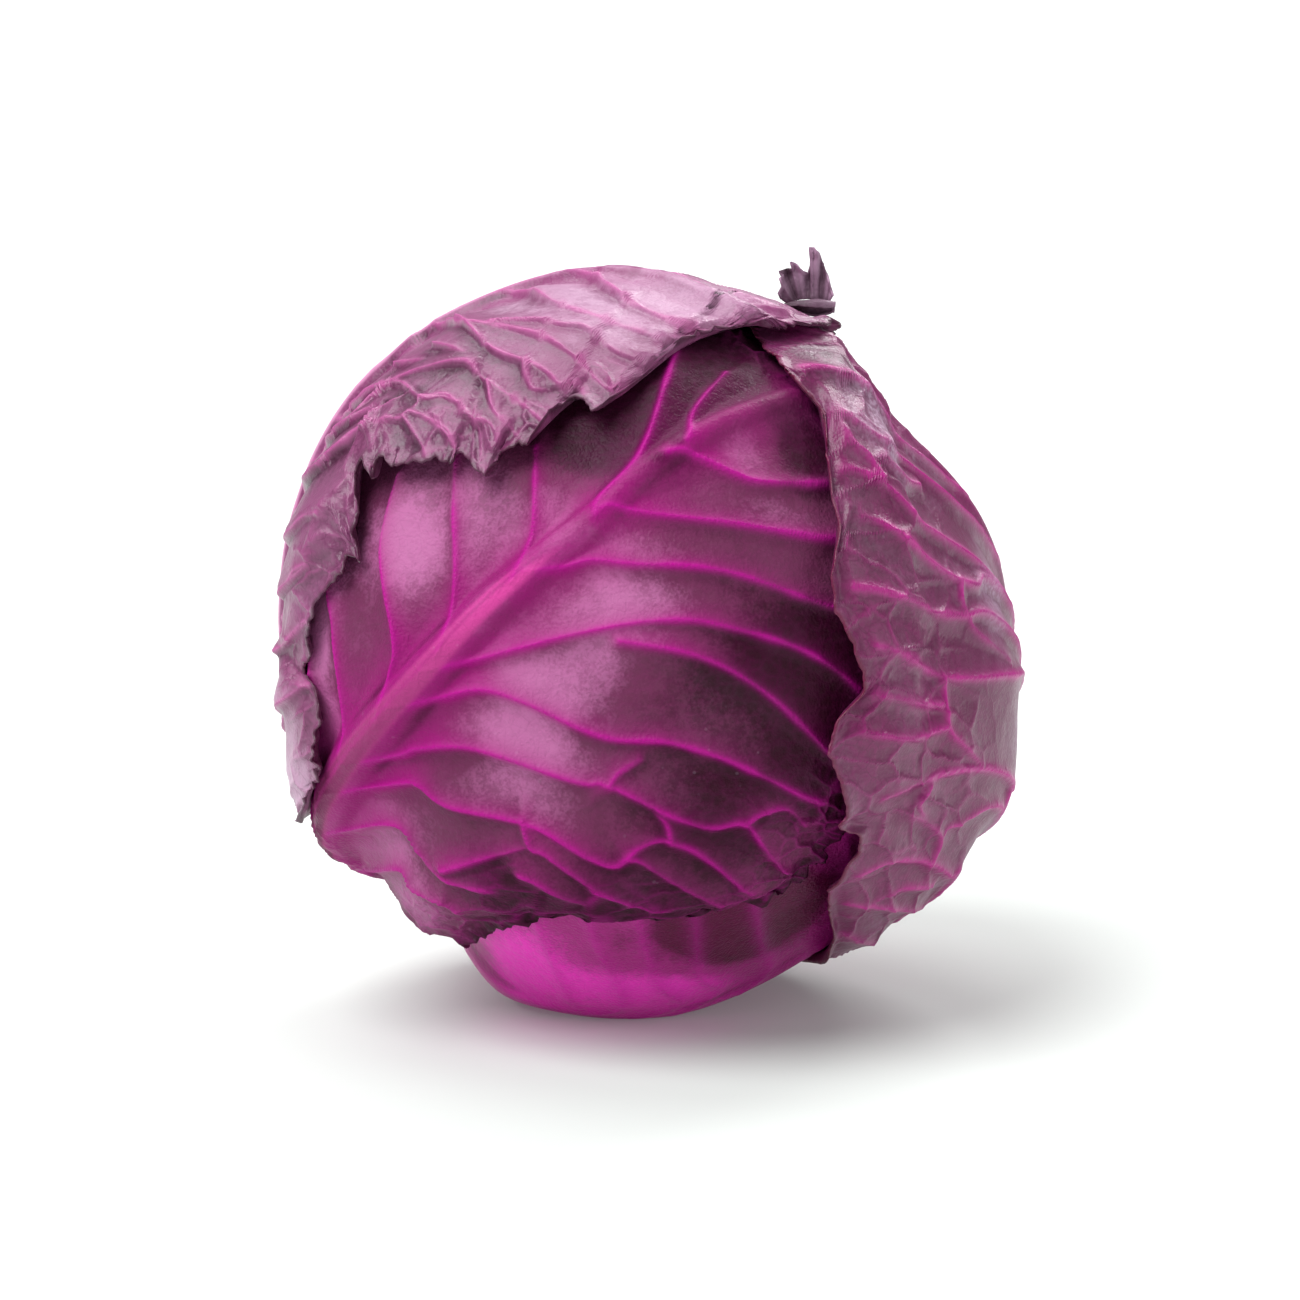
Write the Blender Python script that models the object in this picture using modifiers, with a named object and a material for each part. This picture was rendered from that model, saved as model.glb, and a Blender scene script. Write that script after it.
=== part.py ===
"""Red cabbage head: a packed heart, a cut stem and six outer leaves, each leaf a solid of its own.

Lengths are metres and +Z is up.  The head lies tilted on one leaf: its stem points down to the
back left and its crown up to the front right.  The origin is under the middle of the head, at the
height of the small flat face it rests on.
"""

import math

import bmesh
import bpy
from mathutils import Vector
from mathutils.bvhtree import BVHTree

MM = 0.001

HEAD_CENTRE = Vector((-0.1 * MM, 0.4 * MM, 81.5 * MM))
HEART_RADIUS = 75.6 * MM
STEM_AIM = (-105.0, -38.0)
CROWN_AIM = (60.0, 62.0)

STEM_RADIUS = 15.0 * MM
STEM_FOOT = 63.0 * MM
STEM_END = 82.0 * MM
STEM_DISH = 1.6 * MM
FIT_GAP = 0.4 * MM

LEAF_GAP = 1.35 * MM
LEAF_THICKEST = 4.0 * MM
LEAF_CELLS = 18
SPAN_PASSES = 3

HEART_FLOOR = 3.4 * MM
BACK_FLOOR = 5.5 * MM
REST_FLOOR = 2.0 * MM
FLOOR_CLEAR = 0.9 * MM
FLOOR_CUT = 30.0 * MM

# Swellings (+) and hollows (-) of the heart: azimuth, elevation, height in mm, spread in degrees.
HEART_LUMPS = (
    (-10.0, -86.0, 5.6, 32.0),
    (178.0, -58.0, -5.0, 22.0),
    (96.0, 47.0, -10.6, 25.0),
    (88.0, -22.0, 3.4, 26.0),
    (-100.0, 62.0, 3.3, 34.0),
    (-130.0, 76.0, 2.0, 28.0),
    (-78.0, -10.0, -4.6, 26.0),
    (42.0, -50.0, -8.6, 20.0),
    (-74.0, -52.0, -11.0, 18.0),
    (-60.0, -73.0, 4.6, 13.0),
)

# Each leaf: where its middle and its tip aim, blade and rib thickness in mm, its left and right
# margins and midrib as (along, across) degrees from its middle, and how far along its base and
# tip edges lie at the left margin, the middle and the right margin.
INNER_LEAF = {
    "aim": (-80.0, -2.0),
    "tip_aim": (-60.0, 60.0),
    "blade": 1.5,
    "rib": 2.6,
    "left": ((-30, -32), (-20, -36), (-4, -40), (20, -42), (42, -34), (58, -18)),
    "right": ((-30, 14), (-18, 24), (0, 34), (22, 36), (44, 26), (58, 10)),
    "midrib": ((-28, -9), (-6, -3), (20, 0), (52, 0)),
    "base": (-30, -28, -27),
    "tip": (44, 58, 44),
}
BACK_LEAF = {
    "aim": (180.0, 0.0),
    "tip_aim": (60.0, 62.0),
    "blade": 1.5,
    "rib": 3.0,
    "left": ((-66, 2), (-56, -6), (-44, -20), (-22, -40), (6, -54), (36, -54), (62, -40), (84, -16)),
    "right": ((-66, 44), (-56, 46), (-42, 50), (-20, 56), (8, 58), (40, 54), (66, 38), (84, 14)),
    "midrib": ((-63, 20), (-30, 8), (0, 2), (40, 0), (80, 0)),
    "base": (-61, -64, -58),
    "tip": (66, 84, 66),
}
UNDER_LEAF = {
    "aim": (10.0, -70.0),
    "tip_aim": (75.0, 0.0),
    "blade": 2.8,
    "rib": 3.6,
    "left": ((-50, -10), (-42, -20), (-27, -36), (-8, -48), (18, -50), (42, -42), (62, -26), (76, -10)),
    "right": ((-50, 30), (-42, 32), (-28, 34), (-6, 36), (20, 40), (46, 34), (62, 22), (76, 8)),
    "midrib": ((-47, 6), (-30, 1), (-12, 0), (4, 4), (24, 10), (60, 12)),
    "base": (-46, -48, -49),
    "tip": (60, 76, 60),
}
FRONT_LEAF = {
    "aim": (-17.0, 20.0),
    "tip_aim": (32.0, 51.0),
    "blade": 1.5,
    "rib": 3.8,
    "left": (
        (-90, -12), (-76, -17), (-66, -21), (-52, -28), (-34, -38), (-10, -47), (16, -47),
        (40, -40), (56, -28), (68, -16),
    ),
    "right": (
        (-90, 10), (-76, 17), (-66, 22), (-58, 25), (-51, 32), (-46, 43), (-42, 53), (-37, 61),
        (-28, 67), (-14, 69), (6, 67), (24, 61), (38, 49), (48, 33), (57, 17), (68, 4),
    ),
    "midrib": ((-88, -2), (-69, -6), (-52, -8), (-26, -4), (0, 0), (32, 0), (60, -2)),
    "base": (-85, -88, -84),
    "tip": (54, 68, 52),
}
RIGHT_LEAF = {
    "aim": (85.0, 5.0),
    "tip_aim": (60.0, 62.0),
    "blade": 1.5,
    "rib": 2.6,
    "left": (
        (-134, 2), (-116, 6), (-98, 11), (-84, 7), (-72, -7), (-63, -25), (-52, -40),
        (-40, -51), (-22, -55), (-6, -58), (10, -54), (26, -51), (40, -42), (52, -26),
        (60, -18), (68, -12),
    ),
    "right": (
        (-134, 18), (-118, 24), (-98, 38), (-76, 50), (-50, 62), (-22, 68), (8, 66), (36, 54),
        (54, 36), (68, 18),
    ),
    "midrib": ((-130, 9), (-106, 18), (-76, 26), (-40, 22), (0, 12), (40, 4), (64, 0)),
    "base": (-131, -133, -130),
    "tip": (60, 68, 54),
}
TOP_LEAF = {
    "aim": (-112.0, 44.0),
    "tip_aim": (60.0, 64.0),
    "blade": 1.5,
    "rib": 2.8,
    "left": (
        (-72, -8), (-62, -14), (-50, -24), (-28, -38), (-4, -48), (22, -50), (46, -43), (64, -31),
        (77, -20),
    ),
    "right": (
        (-76, 30), (-60, 35), (-50, 42), (-34, 46), (-16, 48), (2, 43), (14, 48), (30, 52),
        (44, 51), (54, 43), (61, 31), (66, 20), (72, 10), (77, 4),
    ),
    "midrib": ((-67, 8), (-40, 14), (-10, 13), (12, 7), (30, 1), (50, 0), (72, 2)),
    "base": (-66, -69, -75),
    "tip": (68, 77, 73),
}

# Where a leaf's margin stands off the leaf below: (along, across, height in mm, spread degrees).
TOP_STANDOFF = (
    (-52.0, 42.0, 5.0, 24.0),
    (-16.0, 48.0, 3.0, 14.0),
    (30.0, 52.0, 1.5, 20.0),
)
RIGHT_STANDOFF = (
    (28.0, -50.0, 2.2, 22.0),
    (-34.0, -54.0, 3.0, 26.0),
)

CURL_FOOT = (36.0 * MM, 4.0 * MM, 152.0 * MM)
CURL_TOP = (37.2 * MM, 5.0 * MM, 169.0 * MM)
CURL_WIDTH = 11.0 * MM
CURL_THICK = 1.4 * MM
CURL_FOLD = 2.4 * MM
CURL_DROP = 7.0 * MM

COLOURS = {
    "heart": (0.30, 0.05, 0.22),
    "stem": (0.62, 0.42, 0.50),
    "inner_left_leaf": (0.33, 0.04, 0.20),
    "back_leaf": (0.22, 0.07, 0.17),
    "under_leaf": (0.42, 0.06, 0.28),
    "front_leaf": (0.34, 0.05, 0.24),
    "right_leaf": (0.16, 0.06, 0.12),
    "top_leaf": (0.36, 0.15, 0.30),
}


def clear_scene():
    """Remove every object of the start-up scene."""
    for item in list(bpy.data.objects):
        bpy.data.objects.remove(item, do_unlink=True)


def make_collection(name):
    """Make a collection under the scene."""
    group = bpy.data.collections.new(name)
    bpy.context.scene.collection.children.link(group)
    return group


def direction(aim):
    """Unit vector of an (azimuth, elevation) aim; azimuth 0 looks along -Y and 90 along +X."""
    azimuth = math.radians(aim[0])
    elevation = math.radians(aim[1])
    flat = math.cos(elevation)
    return Vector((math.sin(azimuth) * flat, -math.cos(azimuth) * flat, math.sin(elevation)))


def leaf_axes(leaf):
    """The leaf's own axes: out through its middle, up to its tip, and across to its right."""
    out = direction(leaf["aim"])
    tip = direction(leaf["tip_aim"])
    up = (tip - out * tip.dot(out)).normalized()
    return out, up, up.cross(out)


def leaf_direction(axes, along, across):
    """Unit vector at (along, across) degrees on the leaf."""
    out, up, side = axes
    along = math.radians(along)
    across = math.radians(across)
    arc = out * math.cos(along) + up * math.sin(along)
    return arc * math.cos(across) + side * math.sin(across)


def smooth_point(points, index, share, closed):
    """Point on the Catmull-Rom curve between control points index and index + 1."""
    count = len(points)

    def pick(position):
        if closed:
            return points[position % count]
        return points[max(0, min(count - 1, position))]

    before, start, end, after = (pick(index + step) for step in (-1, 0, 1, 2))
    result = []
    for a, b, c, d in zip(before, start, end, after):
        value = 2.0 * b + (c - a) * share
        value += (2.0 * a - 5.0 * b + 4.0 * c - d) * share ** 2
        value += (3.0 * b - a - 3.0 * c + d) * share ** 3
        result.append(0.5 * value)
    return tuple(result)


def smooth_line(points, closed, steps):
    """Evenly stepped points along the smooth curve through the control points."""
    spans = len(points) if closed else len(points) - 1
    line = [smooth_point(points, span, step / steps, closed)
            for span in range(spans) for step in range(steps)]
    if not closed:
        line.append(tuple(float(value) for value in points[-1]))
    return line


def line_height(points, position):
    """Value of a line of (position, value) points, running straight between them."""
    if position <= points[0][0]:
        return float(points[0][1])
    for (before, low), (after, high) in zip(points, points[1:]):
        if position <= after:
            return low + (high - low) * (position - before) / (after - before)
    return float(points[-1][1])


def edge_place(edge, b):
    """How far along a base or tip edge lies, given at b = -1, 0 and 1, at any b between."""
    left, middle, right = edge
    return middle + 0.5 * (right - left) * b + (0.5 * (right + left) - middle) * b * b


def leaf_spot(leaf, a, b):
    """Leaf coordinates of a point of the square from -1 to 1, and how near the margin it is."""
    low = edge_place(leaf["base"], b)
    high = edge_place(leaf["tip"], b)
    along = low + 0.5 * (a + 1.0) * (high - low)
    left = line_height(leaf["left"], along)
    right = line_height(leaf["right"], along)
    across = 0.5 * (left + right) + 0.5 * (right - left) * b
    return along, across, max(abs(a), abs(b))


def heart_radius(aim):
    """Radius of the heart along a direction, with its swellings and hollows."""
    radius = HEART_RADIUS
    for azimuth, elevation, height, spread in HEART_LUMPS:
        turn = math.degrees(aim.angle(direction((azimuth, elevation))))
        radius += height * MM * math.exp(-(turn / spread) ** 2)
    return radius


def floor_limit(aim, height):
    """Largest radius along a direction that stays above a height over the floor."""
    if aim.z >= -1e-6:
        return 1.0
    return (HEAD_CENTRE.z - height) / -aim.z


def add_mesh(name, shape, group):
    """Make an object from a bmesh and put it in a collection."""
    data = bpy.data.meshes.new(name)
    bmesh.ops.recalc_face_normals(shape, faces=shape.faces)
    shape.to_mesh(data)
    shape.free()
    item = bpy.data.objects.new(name, data)
    group.objects.link(item)
    return item


def paint(item):
    """Give an object its own plain material."""
    finish = bpy.data.materials.new(item.name + "_skin")
    finish.use_nodes = True
    shader = finish.node_tree.nodes["Principled BSDF"]
    shader.inputs["Base Color"].default_value = (*COLOURS[item.name], 1.0)
    shader.inputs["Roughness"].default_value = 0.45
    item.data.materials.append(finish)


def hide_cutter(item):
    """Keep a cutter out of renders and draw it as wire."""
    item.hide_render = True
    item.display_type = "WIRE"


def cut(item, cutter, operation="DIFFERENCE"):
    """Add an exact Boolean modifier."""
    step = item.modifiers.new(cutter.name, "BOOLEAN")
    step.operation = operation
    step.solver = "EXACT"
    step.object = cutter


def add_cylinder(name, aim, radius, foot, end, segments, group):
    """Cylinder along a direction from the head's centre, between two distances."""
    shape = bmesh.new()
    bmesh.ops.create_cone(shape, cap_ends=True, segments=segments, radius1=radius,
                          radius2=radius, depth=end - foot)
    turn = Vector((0.0, 0.0, 1.0)).rotation_difference(aim).to_matrix()
    bmesh.ops.rotate(shape, matrix=turn, verts=shape.verts)
    bmesh.ops.translate(shape, vec=HEAD_CENTRE + aim * (0.5 * (foot + end)), verts=shape.verts)
    return add_mesh(name, shape, group)


def add_heart(group, cutters):
    """The packed heart: a lumpy ball with a round seat for the stem."""
    shape = bmesh.new()
    bmesh.ops.create_icosphere(shape, subdivisions=4, radius=1.0)
    for vertex in shape.verts:
        aim = vertex.co.normalized()
        radius = min(heart_radius(aim), floor_limit(aim, HEART_FLOOR))
        vertex.co = HEAD_CENTRE + aim * radius
    heart = add_mesh("heart", shape, group)
    seat = add_cylinder("stem_seat_cutter", direction(STEM_AIM), STEM_RADIUS + FIT_GAP,
                        STEM_FOOT - FIT_GAP, 110.0 * MM, 24, cutters)
    hide_cutter(seat)
    cut(heart, seat)
    paint(heart)
    return heart


def add_stem(group, cutters):
    """The cut stem: a short stub with a slightly dished cut face."""
    aim = direction(STEM_AIM)
    stem = add_cylinder("stem", aim, STEM_RADIUS, STEM_FOOT, STEM_END, 24, group)
    shape = bmesh.new()
    bmesh.ops.create_uvsphere(shape, u_segments=20, v_segments=12, radius=1.0)
    ball = 36.0 * MM
    bmesh.ops.scale(shape, vec=(ball, ball, ball), verts=shape.verts)
    reach = STEM_END + ball - STEM_DISH
    bmesh.ops.translate(shape, vec=HEAD_CENTRE + aim * reach, verts=shape.verts)
    dish = add_mesh("stem_dish_cutter", shape, cutters)
    hide_cutter(dish)
    cut(stem, dish)
    paint(stem)
    return stem


def outer_trees(items):
    """Search trees of the finished surfaces of some objects."""
    graph = bpy.context.evaluated_depsgraph_get()
    graph.update()
    return [BVHTree.FromObject(item, graph) for item in items]


def outer_radius(trees, aim):
    """Radius of the outermost surface along a direction."""
    best = 0.0
    start = HEAD_CENTRE + aim * (160.0 * MM)
    for tree in trees:
        hit = tree.ray_cast(start, -aim, 150.0 * MM)[0]
        if hit is not None:
            best = max(best, (hit - HEAD_CENTRE).length)
    return best


def covered_radius(trees, axes, along, across):
    """Largest outer radius in a small patch round a point of a leaf."""
    best = 0.0
    for ring, count in ((0.0, 1), (2.5, 6), (5.0, 8), (7.5, 10)):
        for index in range(count):
            turn = 2.0 * math.pi * index / count
            aim = leaf_direction(axes, along + ring * math.cos(turn),
                                 across + ring * math.sin(turn))
            best = max(best, outer_radius(trees, aim))
    return best


def distance_to_line(line, along, across):
    """Nearest distance in degrees from a point to a line, and the share along the line."""
    best = 1e9
    share = 0.0
    for index, (u, v) in enumerate(line):
        gap = math.hypot(along - u, across - v)
        if gap < best:
            best = gap
            share = index / (len(line) - 1)
    return best, share


def leaf_thickness(leaf, line, along, across):
    """Thickness of a leaf at a point: its blade, and its rib thinning from stem to tip."""
    gap, share = distance_to_line(line, along, across)
    width = 8.0 - 3.5 * share
    rib = (leaf["rib"] - leaf["blade"]) * (1.0 - 0.75 * share)
    return (leaf["blade"] + rib * math.exp(-(gap / width) ** 2)) * MM


def standoff(points, along, across, rim):
    """How far a leaf's margin stands off at a point."""
    total = 0.0
    edge = max(0.0, (rim - 0.72) / 0.28)
    for u, v, height, spread in points:
        gap = math.hypot(along - u, across - v)
        total += height * MM * math.exp(-(gap / spread) ** 2)
    return total * edge ** 1.5


def add_leaf(name, leaf, below, group, floor, lifts=()):
    """A leaf laid over everything below it, thickened outward, thickest along its midrib."""
    axes = leaf_axes(leaf)
    line = smooth_line(leaf["midrib"], False, 8)
    trees = outer_trees(below)

    shape = bmesh.new()
    bmesh.ops.create_grid(shape, x_segments=LEAF_CELLS, y_segments=LEAF_CELLS, size=1.0)
    spots = [leaf_spot(leaf, v.co.x, v.co.y) for v in shape.verts]
    radii = [covered_radius(trees, axes, u, v) + LEAF_GAP for u, v, _ in spots]
    shape.verts.index_update()
    around = [[edge.other_vert(v).index for edge in v.link_edges] for v in shape.verts]
    for _ in range(SPAN_PASSES):
        means = [sum(radii[i] for i in near) / len(near) for near in around]
        radii = [max(own, mean) for own, mean in zip(radii, means)]

    weights = []
    for index, vertex in enumerate(shape.verts):
        along, across, rim = spots[index]
        aim = leaf_direction(axes, along, across)
        radius = radii[index] + standoff(lifts, along, across, rim)
        radius = min(radius, floor_limit(aim, floor))
        vertex.co = HEAD_CENTRE + aim * radius
        weights.append(leaf_thickness(leaf, line, along, across) / LEAF_THICKEST)
    bmesh.ops.recalc_face_normals(shape, faces=shape.faces)
    shape.normal_update()
    mean_normal = sum((face.normal * face.calc_area() for face in shape.faces), Vector())
    if mean_normal.dot(axes[0]) < 0.0:
        bmesh.ops.reverse_faces(shape, faces=shape.faces)

    data = bpy.data.meshes.new(name)
    shape.to_mesh(data)
    shape.free()
    item = bpy.data.objects.new(name, data)
    group.objects.link(item)
    body = item.vertex_groups.new(name="body")
    for index, weight in enumerate(weights):
        body.add([index], weight, "REPLACE")
    skin = item.modifiers.new("thickness", "SOLIDIFY")
    skin.thickness = LEAF_THICKEST
    skin.offset = 1.0
    skin.use_even_offset = False
    skin.vertex_group = "body"
    paint(item)
    return item


def add_floor_cutter(group):
    """The block that trims the resting leaf to one flat face at floor height."""
    shape = bmesh.new()
    bmesh.ops.create_cube(shape, size=1.0)
    side = 160.0 * MM
    bmesh.ops.scale(shape, vec=(side, side, FLOOR_CUT), verts=shape.verts)
    bmesh.ops.translate(shape, vec=(0.0, 0.0, -0.5 * FLOOR_CUT), verts=shape.verts)
    cutter = add_mesh("floor_cutter", shape, group)
    hide_cutter(cutter)
    return cutter


def wall_middle(tree, aim):
    """Radius half way through a leaf's wall along a direction."""
    start = HEAD_CENTRE + aim * (160.0 * MM)
    outer = tree.ray_cast(start, -aim, 150.0 * MM)[0]
    inner = tree.ray_cast(outer - aim * (0.05 * MM), -aim, 20.0 * MM)[0]
    return ((outer + inner) * 0.5 - HEAD_CENTRE).length


def add_tip_curl(leaf, cutters):
    """The crumpled flap that stands up at the tip of the top leaf, rooted in the leaf's wall."""
    tree = outer_trees([leaf])[0]
    top = Vector(CURL_TOP)
    lean = Vector((0.0, -1.0, 0.2)).normalized()
    shape = bmesh.new()
    bmesh.ops.create_grid(shape, x_segments=6, y_segments=4, size=0.5)
    for vertex in shape.verts:
        across = vertex.co.x
        share = vertex.co.y + 0.5
        foot = Vector(CURL_FOOT)
        foot.x += across * CURL_WIDTH * 0.8
        aim = (foot - HEAD_CENTRE).normalized()
        foot = HEAD_CENTRE + aim * wall_middle(tree, aim)
        crest = top.copy()
        crest.x += across * CURL_WIDTH
        crest.z -= CURL_DROP * (4.0 * across ** 2 + 0.6 * across)
        fold = CURL_FOLD * math.sin(across * 7.0) * share
        vertex.co = foot.lerp(crest, share) + lean * fold
    data = bpy.data.meshes.new("tip_curl_piece")
    shape.to_mesh(data)
    shape.free()
    item = bpy.data.objects.new("tip_curl_piece", data)
    cutters.objects.link(item)
    skin = item.modifiers.new("thickness", "SOLIDIFY")
    skin.thickness = CURL_THICK
    skin.offset = 0.0
    hide_cutter(item)
    return item


def main():
    """Build the head from the heart outward."""
    clear_scene()
    group = make_collection("cabbage_head")
    cutters = make_collection("cutters")

    heart = add_heart(group, cutters)
    add_stem(group, cutters)
    built = [heart]
    clear = FLOOR_CLEAR
    built.append(add_leaf("inner_left_leaf", INNER_LEAF, built, group, clear))
    built.append(add_leaf("back_leaf", BACK_LEAF, built, group, BACK_FLOOR))
    under = add_leaf("under_leaf", UNDER_LEAF, built, group, REST_FLOOR)
    cut(under, add_floor_cutter(cutters))
    built.append(under)
    built.append(add_leaf("front_leaf", FRONT_LEAF, built, group, clear))
    built.append(add_leaf("right_leaf", RIGHT_LEAF, built, group, clear, RIGHT_STANDOFF))
    top = add_leaf("top_leaf", TOP_LEAF, built, group, clear, TOP_STANDOFF)
    cut(top, add_tip_curl(top, cutters), "UNION")


main()
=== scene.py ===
"""Visual model of a red cabbage head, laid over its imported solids.

The head is built from the heart outward.  Every leaf is draped over what already lies below it,
gets its ribs, veins, puckers and torn margin as real relief, and is closed by an inner skin.
"""

import logging
import math
from dataclasses import dataclass, field
from enum import Enum

import bmesh
import bpy
import numpy as np
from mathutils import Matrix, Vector
from mathutils.bvhtree import BVHTree


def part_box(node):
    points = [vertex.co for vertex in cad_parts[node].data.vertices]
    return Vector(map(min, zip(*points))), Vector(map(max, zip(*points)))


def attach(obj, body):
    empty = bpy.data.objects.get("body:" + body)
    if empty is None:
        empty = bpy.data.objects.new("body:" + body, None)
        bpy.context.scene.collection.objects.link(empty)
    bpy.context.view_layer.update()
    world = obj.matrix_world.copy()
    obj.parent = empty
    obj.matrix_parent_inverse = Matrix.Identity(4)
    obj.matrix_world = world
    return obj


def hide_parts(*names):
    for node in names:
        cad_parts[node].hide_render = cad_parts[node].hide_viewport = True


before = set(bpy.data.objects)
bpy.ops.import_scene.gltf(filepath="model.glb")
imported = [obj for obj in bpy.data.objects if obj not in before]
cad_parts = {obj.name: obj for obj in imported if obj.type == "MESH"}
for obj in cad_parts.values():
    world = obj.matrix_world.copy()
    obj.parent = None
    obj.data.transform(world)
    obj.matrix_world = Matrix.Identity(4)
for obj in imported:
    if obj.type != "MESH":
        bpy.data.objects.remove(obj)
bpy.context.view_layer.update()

MM = 0.001
ROOT = "root"
DEGREE_MM = 1.42
HEART_WIDTH_MM = 150.6
HEART_MIDDLE_MM = (2.0, 0.1, 82.0)
HEAD_CENTRE_MM = (-0.1, 0.4, 81.5)
NOISE_RADIUS_MM = 80.0
DEPTH_MASK_MM = 30.0
RIM_MM = 1.5
FAR = 1e9

log = logging.getLogger("cabbage")


class Margin(Enum):
    """The four edges of a leaf, seen from outside with its tip up."""

    LEFT = "left"
    RIGHT = "right"
    BASE = "base"
    TIP = "tip"

    @property
    def upright(self) -> bool:
        """Whether the margin runs from the base to the tip."""
        return self in (Margin.LEFT, Margin.RIGHT)

    @property
    def line(self) -> int:
        """Which column of the leaf's grid, or row at the base and the tip, is the margin."""
        return 0 if self in (Margin.LEFT, Margin.BASE) else -1

    @property
    def next_line(self) -> int:
        """The column or row beside the margin."""
        return 1 if self.line == 0 else -2

    @property
    def widen(self) -> tuple:
        """Index that spreads values along the margin over the whole grid."""
        return (slice(None), None) if self.upright else (None, slice(None))


# ---- Numbers, noise and curves ----


def lattice_hash(cells: np.ndarray, seed: int) -> np.ndarray:
    """Repeatable value from 0 to 1 for each whole-number cell.

    Args:
        cells: integer cells, with three numbers in the last axis.
        seed: picks one of many patterns.

    Returns:
        One value per cell.
    """
    x, y, z = (cells[..., k].astype(np.int64) for k in range(3))
    value = (x * 374761393 + y * 668265263 + z * 1440662683 + seed * 974634777) & 0xFFFFFFFF
    value = ((value ^ (value >> 13)) * 1274126177) & 0xFFFFFFFF
    value = ((value ^ (value >> 15)) * 2246822519) & 0xFFFFFFFF
    return ((value ^ (value >> 16)) & 0xFFFFFF) / float(0xFFFFFF)


def value_noise(points: np.ndarray, size: float, seed: int) -> np.ndarray:
    """Smooth noise from -1 to 1.

    Args:
        points: places, with three numbers in the last axis.
        size: width of one lump, in the units of the points.
        seed: picks one of many patterns.

    Returns:
        One value per place.
    """
    scaled = points / size
    cell = np.floor(scaled).astype(np.int64)
    share = scaled - cell
    share = share * share * (3.0 - 2.0 * share)
    total = np.zeros(points.shape[:-1])
    for corner in range(8):
        step = np.array([(corner >> k) & 1 for k in range(3)])
        weight = np.ones(points.shape[:-1])
        for k in range(3):
            weight = weight * (share[..., k] if step[k] else 1.0 - share[..., k])
        total += weight * lattice_hash(cell + step, seed)
    return 2.0 * total - 1.0


def layered_noise(points: np.ndarray, size: float, seed: int, layers: int = 3) -> np.ndarray:
    """Noise with finer lumps added to coarser ones.

    Args:
        points: places, with three numbers in the last axis.
        size: width of the largest lump.
        seed: picks one of many patterns.
        layers: how many sizes are added.

    Returns:
        One value per place, about -1 to 1.
    """
    total = np.zeros(points.shape[:-1])
    reach = 0.0
    for layer in range(layers):
        gain = 0.5 ** layer
        total += gain * value_noise(points, size * gain, seed + 17 * layer)
        reach += gain
    return total / reach


def line_noise(length: np.ndarray, size: float, seed: int) -> np.ndarray:
    """Smooth noise from -1 to 1 along a line.

    Args:
        length: distances along the line.
        size: width of one lump.
        seed: picks one of many patterns.

    Returns:
        One value per distance.
    """
    points = np.stack([length, np.full_like(length, 0.37 * size), np.zeros_like(length)], axis=-1)
    return value_noise(points, size, seed)


def cell_borders(points: np.ndarray, size: float, seed: int) -> tuple[np.ndarray, np.ndarray]:
    """Distance to the nearest border of a net of irregular cells.

    Args:
        points: places, with three numbers in the last axis.
        size: usual width of a cell.
        seed: picks one of many nets.

    Returns:
        The distance to the nearest border, and a value from 0 to 1 that names the cell.
    """
    scaled = points / size
    base = np.floor(scaled).astype(np.int64)
    steps = [np.array([i, j, k]) for i in (-1, 0, 1) for j in (-1, 0, 1) for k in (-1, 0, 1)]
    shape = points.shape[:-1]
    near = np.full(shape, FAR)
    home = np.zeros(points.shape)
    name = np.zeros(shape)
    seeds = []
    for step in steps:
        cell = base + step
        spot = cell + 0.15 + 0.7 * np.stack(
            [lattice_hash(cell, seed + k) for k in range(3)], axis=-1)
        seeds.append(spot)
        gap = np.sum((spot - scaled) ** 2, axis=-1)
        closer = gap < near
        near = np.where(closer, gap, near)
        home = np.where(closer[..., None], spot, home)
        name = np.where(closer, lattice_hash(cell, seed + 9), name)
    border = np.full(shape, FAR)
    for spot in seeds:
        gap = np.sum((spot - scaled) ** 2, axis=-1)
        apart = np.sqrt(np.sum((spot - home) ** 2, axis=-1))
        usable = apart > 1e-6
        edge = np.where(usable, (gap - near) / (2.0 * np.where(usable, apart, 1.0)), FAR)
        border = np.minimum(border, edge)
    return border * size, name


def smooth_step(low: float, high: float, value: np.ndarray) -> np.ndarray:
    """Rises smoothly from 0 at low to 1 at high."""
    share = np.clip((value - low) / (high - low), 0.0, 1.0)
    return share * share * (3.0 - 2.0 * share)


def bell(value: np.ndarray, width: float | np.ndarray) -> np.ndarray:
    """1 at zero, falling smoothly to nothing at about twice the width."""
    return np.exp(-(value / width) ** 2)


def follow(points: tuple, position: np.ndarray, soften: float = 1.0) -> np.ndarray:
    """Height of a line of (position, value) points, with its corners rounded.

    Args:
        points: pairs in rising order of position.
        position: where to read it.
        soften: how far the corners are rounded.

    Returns:
        The values there.
    """
    where = np.array([p[0] for p in points], float)
    what = np.array([p[1] for p in points], float)
    total = np.zeros_like(position, dtype=float)
    for shift, weight in ((-2.2, 0.15), (-1.1, 0.22), (0.0, 0.26), (1.1, 0.22), (2.2, 0.15)):
        total += weight * np.interp(position + soften * shift, where, what)
    return total


def catmull_rom(knots: tuple, share: np.ndarray) -> np.ndarray:
    """Smooth value between the second and the third of four neighbouring knots.

    Args:
        knots: the four knots' values.
        share: how far the place lies from the second knot to the third.

    Returns:
        The values there.
    """
    a, b, c, d = knots
    return 0.5 * (2 * b + (c - a) * share + (2 * a - 5 * b + 4 * c - d) * share ** 2
                  + (3 * b - a - 3 * c + d) * share ** 3)


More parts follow.
